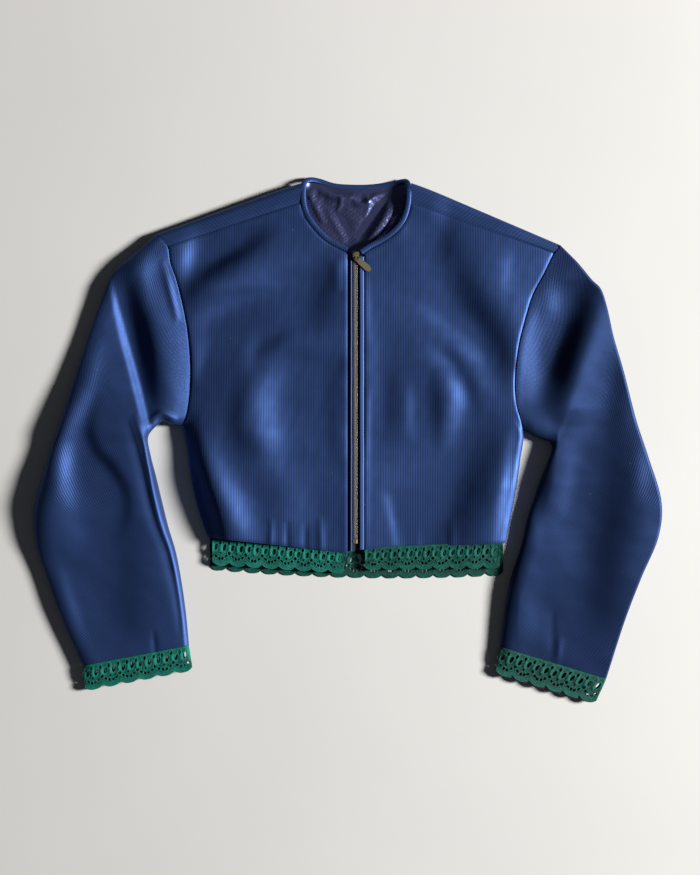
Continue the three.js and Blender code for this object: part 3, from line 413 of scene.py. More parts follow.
BODY_DRAPE = Drape(
    FRONT_SLOPES, (-270, 300), (-170, 370),
    [RIGHT.edge, [[ZIP_X, ZIP_X], [-200, 400]], LEFT.edge], [1.0, 1.0, 1.0],
)


def body_top(x, y):
    """Height of the upper body layer before its edges round down: the table's three heights across,
    eased between its rows, plus the creases and a faint unevenness."""
    rows = BODY_HEIGHT["y"]
    i = np.clip(np.searchsorted(rows, y, side="right"), 1, len(rows) - 1)
    share = smooth((y - rows[i - 1]) / (rows[i] - rows[i - 1]))
    out = np.clip(np.abs(x - ZIP_X) / CENTRE_HALF, 0, 1)
    centre, middle, side = (
        mix(BODY_HEIGHT[name][i - 1], BODY_HEIGHT[name][i], share) for name in ("centre", "middle", "side")
    )
    inner = mix(centre, middle, smooth(out * 2))
    outer = mix(middle, side, smooth(out * 2 - 1))
    calm = smooth(np.abs(x - ZIP_X) / 16 - 0.4)
    folds = BODY_DRAPE.at(x, y) + crease_height(FRONT_CREASES, x, y)
    folds = folds + 0.35 * ripple(x, y, 46, 3) + 0.16 * ripple(x, y, 19, 8, 9)
    return held_up(np.where(out < 0.5, inner, outer) + calm * folds)


def armhole_rise(side, d):
    return rise(d, FOLD_RADIUS) * rise(side.armhole.total - d, UNDERARM_RADIUS)


def armhole_top(side, d):
    return mix(FOLD_Z, ARMHOLE_Z, armhole_rise(side, d))


def armhole_floor(side, d):
    return mix(SIDE_Z, 0, rise(side.armhole.total - d, UNDERARM_RADIUS))


# Meshes
def new_object(name, points, faces, uv=None, smooth_angle=50):
    """A mesh object in metres from points in millimetres, faces as rows of vertex numbers, and one
    UV pair in metres for each face corner."""
    mesh = bpy.data.meshes.new(name)
    faces = [np.asarray(f) for f in (faces if isinstance(faces, list) else [faces]) if len(f)]
    corners = np.concatenate([f.ravel() for f in faces])
    counts = np.concatenate([np.full(len(f), f.shape[1]) for f in faces])
    mesh.vertices.add(len(points))
    mesh.vertices.foreach_set("co", (np.asarray(points, float) * MM).ravel())
    mesh.loops.add(len(corners))
    mesh.loops.foreach_set("vertex_index", corners.astype(np.int32))
    mesh.polygons.add(len(counts))
    mesh.polygons.foreach_set("loop_start", np.concatenate([[0], np.cumsum(counts)[:-1]]).astype(np.int32))
    mesh.polygons.foreach_set("loop_total", counts.astype(np.int32))
    mesh.polygons.foreach_set("use_smooth", np.ones(len(counts), bool))
    if uv is not None:
        layer = mesh.uv_layers.new(name="cloth")
        layer.data.foreach_set("uv", (np.asarray(uv, float) * MM).ravel())
    mesh.update(calc_edges=True)
    mesh.validate()
    mesh.set_sharp_from_angle(angle=math.radians(smooth_angle))
    item = bpy.data.objects.new(name, mesh)
    bpy.context.scene.collection.objects.link(item)
    return item


def grid_quads(ids):
    """The four corners of every cell of a grid of vertex numbers."""
    return np.stack([ids[:-1, :-1], ids[:-1, 1:], ids[1:, 1:], ids[1:, :-1]], axis=-1)


def ring_faces(steps, sides):
    """Quads and two caps of a bar whose vertices are numbered ring by ring."""
    ids = np.arange(steps * sides).reshape(steps, sides)
    after = np.roll(ids, -1, axis=1)
    quads = np.stack([ids[:-1], after[:-1], after[1:], ids[1:]], axis=-1).reshape(-1, 4)
    return quads, np.stack([ids[0][::-1], ids[-1]])


def edges_of(faces):
    """Directed edges of all faces, first corner to second, then second to third, and so on."""
    corners = faces.shape[1]
    return np.concatenate([faces[:, [k, (k + 1) % corners]] for k in range(corners)])


def is_open(edges, count):
    """Whether no neighbouring face runs along an edge the other way, with count vertices in all."""
    return ~np.isin(edges[:, 0] * count + edges[:, 1], edges[:, 1] * count + edges[:, 0])


def rim_walls(rims, count):
    """Quads from the open edges of the first count vertices to their copies, count further on."""
    return np.stack([rims[:, 1], rims[:, 0], rims[:, 0] + count, rims[:, 1] + count], axis=-1)


def grid_normals(points):
    """Unit normals of a grid of points, from the cross product of its two directions."""
    normal = np.cross(np.gradient(points, axis=0), np.gradient(points, axis=1))
    return normal / np.maximum(np.linalg.norm(normal, axis=2, keepdims=True), 1e-9)


WELD_CELLS = 40  # cells to a millimetre; points in one cell become one


def shell(name, patches, thickness, flip=False):
    """A closed thin wall. Each patch is a grid of outer points with a UV grid; the inner points lie the
    wall's thickness below them along the normal, patches join where their points meet, and every open
    border gets a rim."""
    sign = -1.0 if flip else 1.0
    outer, inner, uvs, quads = [], [], [], []
    offset = 0
    for points, uv, closed in patches:
        padded = np.concatenate([points[:, -2:-1], points, points[:, 1:2]], axis=1) if closed else points
        normal = grid_normals(padded)
        normal = normal[:, 1:-1] if closed else normal
        outer.append(points.reshape(-1, 3))
        inner.append((points - sign * normal * thickness).reshape(-1, 3))
        uvs.append(uv.reshape(-1, 2))
        rows, columns = points.shape[:2]
        ids = offset + np.arange(rows * columns).reshape(rows, columns)
        quads.append(grid_quads(ids).reshape(-1, 4))
        offset += rows * columns
    outer, inner, uvs, quads = map(np.concatenate, (outer, inner, uvs, quads))
    if not flip:
        quads = quads[:, ::-1]
    raw = np.concatenate([quads[:, [0, 1, 2]], quads[:, [0, 2, 3]]])
    cells = np.round(outer * WELD_CELLS).astype(np.int64)
    _, first, merged = np.unique(cells, axis=0, return_index=True, return_inverse=True)
    faces = merged.ravel()[raw]
    good = (faces[:, 0] != faces[:, 1]) & (faces[:, 1] != faces[:, 2]) & (faces[:, 0] != faces[:, 2])
    faces, raw = faces[good], raw[good]
    count = len(first)
    edges = edges_of(faces)
    border = is_open(edges, count)
    rim_raw = edges_of(raw)[border]
    all_faces = [np.concatenate([faces, faces[:, ::-1] + count]), rim_walls(edges[border], count)]
    corner_uv = np.concatenate([
        uvs[raw].reshape(-1, 2),
        uvs[raw[:, ::-1]].reshape(-1, 2),
        uvs[rim_raw[:, [1, 0, 0, 1]]].reshape(-1, 2),
    ])
    return new_object(name, np.concatenate([outer[first], inner[first]]), all_faces, corner_uv)


def length_along(line):
    """Length from the start of a line to each of its points."""
    return np.concatenate([[0], np.cumsum(np.linalg.norm(np.diff(line, axis=0), axis=1))])


def swept(name, line, ring, wide, thick):
    """A closed bar: ring is a grid of (across, up) offsets carried along the line, with wide and thick as
    the unit directions across and up at each step, capped at both ends."""
    points = line[:, None, :] + ring[..., :1] * wide[:, None, :] + ring[..., 1:] * thick[:, None, :]
    steps, sides = points.shape[:2]
    quads, caps = ring_faces(steps, sides)
    run = length_along(line)
    around = np.linalg.norm(np.diff(points[0], axis=0, append=points[0][:1]), axis=1)
    around = np.concatenate([[0], np.cumsum(around)])
    i, j = np.meshgrid(np.arange(steps - 1), np.arange(sides), indexing="ij")
    corner = [(i, j), (i, j + 1), (i + 1, j + 1), (i + 1, j)]
    uv = np.stack([np.stack([around[b], run[a]], axis=-1) for a, b in corner], axis=-2).reshape(-1, 2)
    uv = np.concatenate([uv, np.zeros((2 * sides, 2))])
    return new_object(name, points.reshape(-1, 3), [quads, caps], uv)


# Cloth pieces
def edge_roll(distance, drop=0.9, reach=1.7):
    """How far a stitched edge dips towards its seam."""
    return drop * np.exp(-((distance / reach) ** 2))


def front_panel(side):
    """Rows run from the centre front or neckline out to the side or armhole; each row's height is the
    body's own, rounding down to the seam's height at its outer end."""
    side_rows, arm_rows = 64, 126
    arm_radius = 26.0  # how far the panel rounds over at the armhole
    neck_start = 0.62  # share of the rows that start at the centre front, before the neckline
    up = np.arange(side_rows) / side_rows * side.side_edge.total
    sx, sy = side.side_edge.at(up)
    d = np.linspace(side.armhole.total, side.seam_end, arm_rows)
    ax, ay = side.armhole.at(d)
    curl = lean(side.armhole.total - d, UNDERARM_RADIUS)
    ox, oy = np.concatenate([sx, ax]), np.concatenate([sy, ay])
    oz = np.concatenate([np.full(side_rows, SIDE_Z + SEAM / 2), armhole_top(side, d) + SEAM / 2 * curl])
    radius = np.concatenate([np.full(side_rows, side.flank), mix(arm_radius, side.flank, curl)])
    length = np.concatenate([[0], np.cumsum(np.hypot(np.diff(ox), np.diff(oy)))])
    share = length / length[-1]
    nx, ny = side.neckline.at(np.maximum(share - neck_start, 0) / (1 - neck_start) * side.neckline.total)
    on_neck = share > neck_start
    ix = np.where(on_neck, nx, side.front_x)
    iy = np.where(on_neck, ny, mix(side.hem_y, side.neck_y, share / neck_start))
    width = np.hypot(ox - ix, oy - iy)
    flat = np.concatenate([[0, 0.006], np.linspace(0.02, 1, 84)])
    edge = np.sin(np.linspace(1, 0, 15)[1:] * np.pi / 2) ** 1.6
    e = np.concatenate([mix(width[:, None], radius[:, None], flat), radius[:, None] * edge], axis=1)
    x = ox[:, None] + (ix - ox)[:, None] / width[:, None] * e
    y = oy[:, None] + (iy - oy)[:, None] / width[:, None] * e
    z = mix(oz[:, None], body_top(x, y), rise(e, radius[:, None]))
    down = np.cumsum(np.hypot(np.diff(x, axis=0, prepend=x[:1]), np.diff(y, axis=0, prepend=y[:1])), axis=0)
    z -= edge_roll(down) + edge_roll(down[-1] - down) + edge_roll(width[:, None] - e, 0.7, 1.2)
    z -= edge_roll(e, 0.8, 1.6) * (1 - np.concatenate([np.ones(side_rows), curl]))[:, None]
    points = np.stack([x, y, z], axis=-1)
    uv = np.stack([x, y], axis=-1)
    return shell(f"front_{side.name}_cloth", [(points, uv, False)], CLOTH, flip=side is LEFT)


BACK_NECK = table("x y", [
    [-65, 338.6], [-56, 346.8], [-46, 348.2], [-32, 343.9], [-14, 339.1],
    [18, 337.85], [44, 339.6], [62, 343.1], [76, 347], [87.3, 339.3],
])


def back_neck_y(x):
    return np.interp(x, BACK_NECK["x"], BACK_NECK["y"])


NECK_LIFT = 8.0  # how far the back's neck corners rise to the binding
NECK_CORNERS = [(-62, 348), (82.5, 344)]


def neck_lift(x, y):
    """Height that the back and its lining gain at the two corners of the neck: a soft mound on each."""
    return sum(NECK_LIFT * np.exp(-(((x - cx) / 7) ** 2) - ((y - cy) / 8) ** 2) for cx, cy in NECK_CORNERS)


def back_edge(side, side_rows, arm_rows):
    up = np.arange(side_rows) / side_rows * side.side_edge.total
    sx, sy = side.side_edge.at(up)
    d = np.linspace(side.armhole.total, FOLD_RADIUS, arm_rows)
    ax, ay = side.armhole.at(d)
    curl = lean(side.armhole.total - d, UNDERARM_RADIUS)
    z = np.concatenate([
        np.full(side_rows, SIDE_Z - SEAM / 2),
        np.maximum(armhole_floor(side, d) - SEAM / 2 * curl, 0),
    ])
    return np.concatenate([sx, ax]), np.concatenate([sy, ay]), z


def shoulder_wrap(side, share):
    """The back's strip over the shoulder, one column for each share from the neck outwards: up round the
    fold from the floor, then forward to the seam on the upper layer."""
    share = share[:, None]
    low = np.linspace(1, 0, 13)[None, :-1] ** 1.5 * FOLD_RADIUS
    high = np.linspace(0, 1, 13)[None, 1:] ** 1.5 * FOLD_RADIUS
    e = np.concatenate([low, [[0.0]], high], axis=1)
    rising = np.arange(e.shape[1]) > low.shape[1]
    tip0, tip9, tips = side.armhole.at(0), side.armhole.at(FOLD_RADIUS), side.armhole.at(side.seam_end)
    fold = [mix(side.fold_neck[k], tip0[k], share) for k in (0, 1)]
    under = [mix(side.fold_neck[0], tip9[0], share), mix(side.fold_neck[1] - FOLD_RADIUS, tip9[1], share)]
    seam = [mix(side.shoulder_neck[0], tips[0], share), mix(side.shoulder_neck[1], tips[1], share) + SEAM]
    end = [np.where(rising, seam[k], under[k]) for k in (0, 1)]
    run = np.hypot(end[0] - fold[0], end[1] - fold[1])
    hold = np.clip(share * 6 - 5, 0, 1)
    tip = side.armhole.at(e)
    x, y = (mix(fold[k] + (end[k] - fold[k]) / run * e, tip[k], hold) for k in (0, 1))
    top = mix(body_top(x, y), ARMHOLE_Z, share ** 3)
    z = np.where(rising, mix(FOLD_Z, top, rise(e, FOLD_RADIUS)), FOLD_Z * (1 - rise(e, FOLD_RADIUS)))
    steps = np.linspace(0, 1, 9)[1:]
    sx, sy = (mix(p[:, -1:], seam[k], steps) for k, p in enumerate((x, y)))
    sz = mix(body_top(sx, sy), ARMHOLE_Z, share ** 3) - edge_roll((1 - steps) * 8.0)
    points = np.stack([np.concatenate([a, b], axis=1) for a, b in ((x, sx), (y, sy), (z, sz))], axis=-1)
    near_neck = (1 - share) ** 14
    points[..., 0] += side.to_binding * near_neck * smooth(np.linspace(0, 4, points.shape[1]))
    points[..., 2] = np.maximum(points[..., 2], neck_lift(points[..., 0], points[..., 1]))
    return points


BACK_LEVELS = 18  # levels from the hem to the crown; the hem's bow fades out over the lowest four
BIAS_TURN = 40  # degrees that the cords turn where the back comes over the shoulders


def back_panel():
    """The floor layer's rows run from side to side, straight at the hem and bending into the crown of
    the shoulders and neck; a wrap over each shoulder joins its last row."""
    side_rows, arm_rows = 30, 60
    rx, ry, rz = back_edge(RIGHT, side_rows, arm_rows)
    lx, ly, lz = back_edge(LEFT, side_rows, arm_rows)
    radius = 13.0  # how far the back rounds up to the side seams
    wide = (lx - rx)[:, None]
    edge = np.sin(np.linspace(0, 1, 9)[:-1] * np.pi / 2) ** 1.6 * radius
    inside = np.linspace(0, 1, 121)[None, :]
    middle = mix(radius / wide, 1 - radius / wide, inside)
    share = np.concatenate([edge / wide, middle, 1 - edge[::-1] / wide], axis=1)
    tipr, tipl = RIGHT.armhole.at(FOLD_RADIUS), LEFT.armhole.at(FOLD_RADIUS)
    crown_x = np.concatenate([[tipr[0]], BACK_NECK["x"], [tipl[0]]])
    crown_y = np.concatenate([[tipr[1]], BACK_NECK["y"], [tipl[1]]])
    at = mix(crown_x[0], crown_x[-1], share)
    chord = mix(crown_y[0], crown_y[-1], share)
    level = (np.arange(side_rows + arm_rows) * BACK_LEVELS / (side_rows + arm_rows - 1))[:, None]
    pull = smooth((level - 2) / (BACK_LEVELS - 2))
    x = mix(rx[:, None], lx[:, None], share)
    line = mix(ry[:, None], ly[:, None], share) - HEM_BOW * 4 * share * (1 - share) * (1 - smooth(level / 4))
    y = line + (np.interp(at, crown_x, crown_y) - chord) * pull
    e = np.minimum(share, 1 - share) * wide
    z = np.where(share < 0.5, rz[:, None], lz[:, None]) * (1 - rise(e, radius)) + neck_lift(x, y)
    floor = np.stack([x, y, z], axis=-1)
    patches = [(floor, np.stack([x, y], axis=-1), False)]
    for side in (RIGHT, LEFT):
        tip = side.armhole.at(FOLD_RADIUS)
        share_x = (floor[-1, :, 0] - side.fold_neck[0]) / (tip[0] - side.fold_neck[0])
        keep = (share_x >= -1e-6) & (share_x <= 1 + 1e-6)
        row = floor[-1, keep]
        columns = shoulder_wrap(side, np.clip(share_x[keep], 0, 1))
        columns[:, 0] = row
        steps = np.linalg.norm(np.diff(columns, axis=1, prepend=columns[:, :1]), axis=2)
        up = np.cumsum(steps, axis=1)
        turn = -1.0 if side is RIGHT else 1.0
        angle = math.radians(BIAS_TURN) * turn
        across = columns[..., 0] * math.cos(angle) + up * math.sin(angle)
        uv = np.stack([across, up * math.cos(angle) - columns[..., 0] * math.sin(angle)], axis=-1)
        patches.append((columns.transpose(1, 0, 2), uv.transpose(1, 0, 2), False))
    return shell("back_cloth", patches, CLOTH)


SLEEVE_LENGTH = 600.0  # flat length from the armhole to the cuff
SLEEVE_MIDLINE = 620.0  # length along the middle of the laid sleeve


def sleeve_point(side, share, d):
    """Place on the laid sleeve at a share of its length and an armhole length d, the distances from there
    to the outer and inner edges, and the sleeve's row at that share."""
    row = along(side.sleeve, share)
    total = side.armhole.total
    s = d / total
    at, start, end = side.armhole.at(d), side.armhole.at(0), side.armhole.at(total)
    hold = 1 - smooth(share / 0.3)
    width = np.hypot(row["ix"] - row["ox"], row["iy"] - row["oy"])
    shift = side.seam_shift * (1 - smooth(share / 0.1))
    x = mix(row["ox"], row["ix"], s) + hold * (at[0] - mix(start[0], end[0], s)) + shift
    y = mix(row["oy"], row["iy"], s) + hold * (at[1] - mix(start[1], end[1], s))
    return x, y, s * width, (1 - s) * width, row


def sleeve_surface(side, share, d, upper):
    """A tube from the armhole to the cuff: flat below, and above an arch that rounds up from both edges
    to the row's crest, with the sleeve's creases on it."""
    x, y, out, inn, row = sleeve_point(side, share, d)
    outer, inner = side.rounding if upper else (1.0, 1.0)
    arch = rise(out, row["out"] * outer) * rise(inn, row["in"] * inner)
    if not upper:
        return np.stack(np.broadcast_arrays(x, y, row["side"] * (1 - arch)), axis=-1)
    creases = side.drape.at(x, y) + crease_height(side.sleeve_creases, x, y)
    folds = (creases + 0.35 * ripple(x, y, 40, 11) + 0.12 * ripple(x, y, 19, 12, 9)) * smooth(share / 0.05)
    seam_dip = edge_roll(share * SLEEVE_MIDLINE, 0.8, 1.8) * armhole_rise(side, d)
    z = mix(row["side"], held_up(row["crest"] + folds), arch) - seam_dip
    return np.stack(np.broadcast_arrays(x, y, z), axis=-1)


def sleeve(side):
    total = side.armhole.total
    share = (np.linspace(0, 1, 262) ** 1.12)[:, None]
    ease = np.linspace(0, 1, 106)
    top_d = (mix(ease, 0.5 - 0.5 * np.cos(np.pi * ease), 0.45) * total)[None, :]
    low = np.linspace(0, 1, 44)
    low_d = (mix(low, 0.5 - 0.5 * np.cos(np.pi * low), 0.7) * total)[None, ::-1]
    upper = sleeve_surface(side, share, top_d, True)
    under = sleeve_surface(side, share, low_d, False)
    points = np.concatenate([upper, under[:, 1:]], axis=1)
    steps = np.linalg.norm(np.diff(points, axis=1, prepend=points[:, :1]), axis=2)
    around = np.cumsum(steps, axis=1)
    down = np.broadcast_to(share * SLEEVE_LENGTH, around.shape)
    uv = np.stack([around, down], axis=-1)
    return shell(f"sleeve_{side.name}_cloth", [(points, uv, True)], CLOTH, flip=side is LEFT)


# Neck binding
BINDING_BACK = [  # its centre line round the back of the neck
    (-60.4, 335, 13.7), (-59.2, 345, 11.4), (-54.2, 350.8, 7.8), (-47, 352, 4.4), (-37, 349.8, 2.4),
    (-16, 343.6, 1.7), (18.4, 342, 1.7), (45, 343.8, 1.8), (62, 347.2, 2.6), (71.5, 349.6, 4.8),
    (78.2, 349.2, 8.2), (81.4, 343.6, 12), (81.8, 334, 13.7),
]
BINDING_HALF = 3.6  # half of its width
BINDING_THICK = 1.35  # half of its thickness


def binding_front(side):
    length = side.neckline.total * np.arange(8) / 7
    x, y = side.neckline.at(length)
    ahead, behind = side.neckline.at(length + 1), side.neckline.at(length - 1)
    run = np.hypot(ahead[0] - behind[0], ahead[1] - behind[1])
    turn = 1 if side is RIGHT else -1
    away = turn * (BINDING_HALF + SEAM * 2)
    z = body_top(x, y) - CLOTH / 2 + 0.3
    return np.stack([x + away * (ahead[1] - behind[1]) / run, y - away * (ahead[0] - behind[0]) / run, z], axis=-1)


def neck_binding():
    """An oval bar round the neck whose surface swells once for each cord of the bias strip."""
    line = np.concatenate([binding_front(RIGHT), np.array(BINDING_BACK), binding_front(LEFT)[::-1]])
    rows = table("x y z", line)
    share = np.linspace(0, 1, 1300)
    at, ahead, behind = along(rows, share), along(rows, share + 0.01), along(rows, share - 0.01)
    centre = np.stack([at["x"], at["y"], at["z"]], axis=-1)
    tangent = np.stack([ahead[k] - behind[k] for k in "xyz"], axis=-1)
    tangent /= np.linalg.norm(tangent, axis=1, keepdims=True)
    middle = np.stack([ZIP_X - at["x"], 305 - at["y"], np.zeros(len(share))], axis=-1)
    wide = middle - (middle * tangent).sum(1, keepdims=True) * tangent
    wide /= np.linalg.norm(wide, axis=1, keepdims=True)
    thick = np.cross(tangent, wide)
    run = length_along(centre)
    angle = np.linspace(0, 2 * np.pi, 21)[:-1]
    slant = run[:, None] - BINDING_HALF * 0.7 * np.cos(angle)[None, :]
    swell = 1 + 0.055 * np.cos(2 * np.pi * slant / FINE_CORD_PITCH)
    across = np.broadcast_to(BINDING_HALF * np.cos(angle), swell.shape)
    up = BINDING_THICK * np.sign(np.sin(angle)) * np.abs(np.sin(angle)) ** 0.8 * swell
    ring = np.stack([across, up], axis=-1)
    return swept("neck_binding_cord", centre, ring, wide, thick)


# Lining of the back where the neck shows it
LINING_X = (-86, 106)
LINING_BOTTOM = 222.0
LINING_CREASES = [
    [3.4, 3, 6, [(-37, 346), (-30, 336), (-20, 331), (-8, 328), (4, 330), (10, 340)]],
    [3.2, 3.5, 5, [(6, 324), (16, 319), (27, 322), (40, 334), (54, 342)]],
    [-2.2, 6, 7, [(58, 334), (34, 306), (12, 272)]],
    [5.0, 10, 6, [(60, 322), (48, 298), (32, 274), (16, 254)]],
    [2.2, 6, 4, [(-54, 338), (-46, 318), (-32, 292)]],
    [-1.6, 9, 9, [(-22, 318), (-10, 296), (6, 268)]],
    [1.6, 8, 5, [(-30, 312), (-16, 290), (-4, 268)]],
    [1.0, 3, 3, [(-14, 340), (-10, 322), (-16, 306)]],
    [1.2, 3, 4, [(22, 336), (28, 318), (22, 300)]],
]


def back_lining():
    """A sheet under the neck opening that tucks into the binding, with the lining's creases on it."""
    x = np.linspace(*LINING_X, 170)[None, :]
    tuck = 0.8 + 1.6 * np.exp(-(((x - 70) / 9) ** 2)) - 1.2 * np.exp(-(((x + 56) / 6) ** 2))
    top = back_neck_y(x) + tuck - 0.9 * np.maximum(np.maximum(-56 - x, x - 76), 0)
    share = np.linspace(0, 1, 110)[:, None]
    y = mix(LINING_BOTTOM, top, share)
    x = np.broadcast_to(x, y.shape)
    base = CLOTH + SEAM + LINING
    crinkle = 0.6 * ripple(x, y, 9, 21) * smooth((y - 300) / 30) + 0.3 * ripple(x, y, 5, 22)
    free = smooth((top - y - 3) / 10) * smooth((x + 84) / 20) * smooth((100 - x) / 24)
    folds = np.maximum(crease_height(LINING_CREASES, x, y) + 0.9 + crinkle, 0)
    z = base + neck_lift(x, y) + free * folds
    points = np.stack([x, y, z], axis=-1)
    return shell("back_lining_satin", [(points, np.stack([x, y], axis=-1), False)], LINING, flip=True)


# Strips beside the zip
def strip_ring(x0, x1, low, high, corner, sides=4):
    """A bar's section with rounded upper corners, as (across, up) pairs running anticlockwise."""
    turn = np.linspace(0, np.pi / 2, sides)
    right = np.stack([x1 - corner + corner * np.cos(turn), high - corner + corner * np.sin(turn)], axis=-1)
    left = np.stack([x0 + corner - corner * np.sin(turn), high - corner + corner * np.cos(turn)], axis=-1)
    return np.concatenate([[[x0, low], [x1, low]], right, left])


def front_strip(name, x0, x1, y0, y1, low, high, corner, steps=200, waver=0.0, fall=0.0):
    """A strip that follows the centre front, with its height read from the body's surface. Its upper side
    is lower towards +X by fall times the distance."""
    y = np.linspace(y0, y1, steps)
    z = body_top(np.full(steps, ZIP_X), y)
    sway = waver * ripple(y, np.zeros(steps), 60, 5)
    line = np.stack([sway, y, z], axis=-1)
    ring = strip_ring(x0, x1, low, high, corner)
    ring[2:, 1] -= fall * (ring[2:, 0] - x0)
    ring = np.broadcast_to(ring, (steps, *ring.shape))
    wide = np.tile([1.0, 0, 0], (steps, 1))
    thick = np.tile([0, 0, 1.0], (steps, 1))
    return swept(name, line, ring, wide, thick)


ZIP_TOP = 239.8
ZIP_BOTTOM = -133.7
TOOTH_PITCH = 1.4  # from one tooth to the next on the same side
TOOTH_SQUASH = 0.52  # a tooth's size along the chain, as a share of its section's
TOOTH_SECTION = np.array([[-0.5, -0.62], [0.5, -0.62], [0.62, -0.1], [0.42, 0.42], [-0.42, 0.42], [-0.62, -0.1]])
TOOTH_PROFILE = np.array([[-3.1, 0.62], [-2.8, 0.95], [-1.1, 1.0], [0.4, 0.94], [0.9, 0.6]])  # place across, size


def zip_teeth():
    """Every tooth is a rounded bar with a domed middle; teeth from the two sides alternate down the
    chain and overlap on its centre line."""
    place, size = TOOTH_PROFILE[:, 0, None], TOOTH_PROFILE[:, 1, None]
    deep, tall = TOOTH_SECTION[:, 0] * size, TOOTH_SECTION[:, 1] * size
    bar = np.stack([np.broadcast_to(place, deep.shape), deep, tall], axis=-1).reshape(-1, 3)
    count = int((ZIP_TOP - ZIP_BOTTOM) / TOOTH_PITCH) * 2
    y = ZIP_TOP - 0.8 - np.arange(count) * TOOTH_PITCH / 2
    flip = np.where(np.arange(count) % 2 == 0, 1.0, -1.0)
    centre = np.stack([np.full(count, ZIP_X), y, body_top(np.full(count, ZIP_X), y) - 0.1], axis=-1)
    scale = np.stack([flip, np.full(count, TOOTH_SQUASH), np.ones(count)], axis=-1)
    points = centre[:, None, :] + bar[None] * scale[:, None, :]
    shift = (np.arange(count) * len(bar))[:, None, None]

    def on_every_tooth(pattern):
        every = pattern[None, :, ::-1] + shift
        return np.where(flip[:, None, None] > 0, every, every[:, :, ::-1]).reshape(-1, pattern.shape[1])

    faces = [on_every_tooth(pattern) for pattern in ring_faces(len(TOOTH_PROFILE), len(TOOTH_SECTION))]
    return new_object("zip_teeth", points.reshape(-1, 3), faces, smooth_angle=35)


# Lace. A hole's place is u in scallops along the strip and v down it, with its half axes and its turn
LACE_HOLES = table("u v ru rv turn", [
    [0.22, 13.4, 1.9, 4.3, 16],
    [0.72, 13.0, 2.0, 4.6, 14],
    [0.0, 6.6, 1.5, 2.9, 14],
    [0.48, 6.4, 1.5, 3.0, 14],
    [0.0, 20.6, 1.9, 2.3, 0],
    [0.2, 25.0, 1.6, 2.2, -34],
    [0.4, 27.9, 1.6, 2.3, -12],
    [0.6, 27.9, 1.6, 2.3, 12],
    [0.8, 25.0, 1.6, 2.2, 34],
    [0.48, 21.2, 1.3, 1.8, 0],
])
LACE_FULL = 38.0  # depth that the holes are drawn for
LACE_COLUMNS = 26  # mesh cells along one scallop
LACE_ROWS = 44
LACE_MARGIN = 2.2  # bare strip at both ends
LACE_GROUND = 0.75  # thickness of the flat ground
LACE_CORDS = [(0.9, 0.75, 0.9), (3.1, 0.6, 0.7), (5.2, 0.6, 0.6)]  # distance from the edge, width, height


def scallop_notch(u):
    """How far the scalloped edge lies short of full depth, 0 at a scallop's middle."""
    return 5.0 * np.abs(2 * (u - np.floor(u)) - 1) ** 2.6


def hole_field(u, v, repeats, wobble):
    """Nearest hole of the pattern: its normalised radius, its centre and half axes."""
    best = np.full(u.shape, np.inf)
    pull_u, pull_v = np.zeros(u.shape), np.zeros(u.shape)
    for k in range(len(LACE_HOLES["u"])):
        turn = math.radians(LACE_HOLES["turn"][k])
        cell = np.floor(u - LACE_HOLES["u"][k] + 0.5)
        slip = wobble[(cell.astype(int) * 7 + k * 3) % len(wobble)]
        cu = (cell + LACE_HOLES["u"][k]) * LACE_PITCH + slip[..., 0]
        cv = LACE_HOLES["v"][k] + slip[..., 1]
        du, dv = u * LACE_PITCH - cu, v - cv
        a = du * math.cos(turn) + dv * math.sin(turn)
        b = -du * math.sin(turn) + dv * math.cos(turn)
        inside = (cu > LACE_MARGIN) & (cu < repeats * LACE_PITCH - LACE_MARGIN)
        q = np.hypot(a / LACE_HOLES["ru"][k], b / LACE_HOLES["rv"][k])
        q = np.where(inside, np.maximum(q, 1e-6), np.inf)
        closer = q < best
        best = np.where(closer, q, best)
        pull_u = np.where(closer, cu + du / np.maximum(q, 1e-6), pull_u)
        pull_v = np.where(closer, cv + dv / np.maximum(q, 1e-6), pull_v)
    return best, pull_u, pull_v


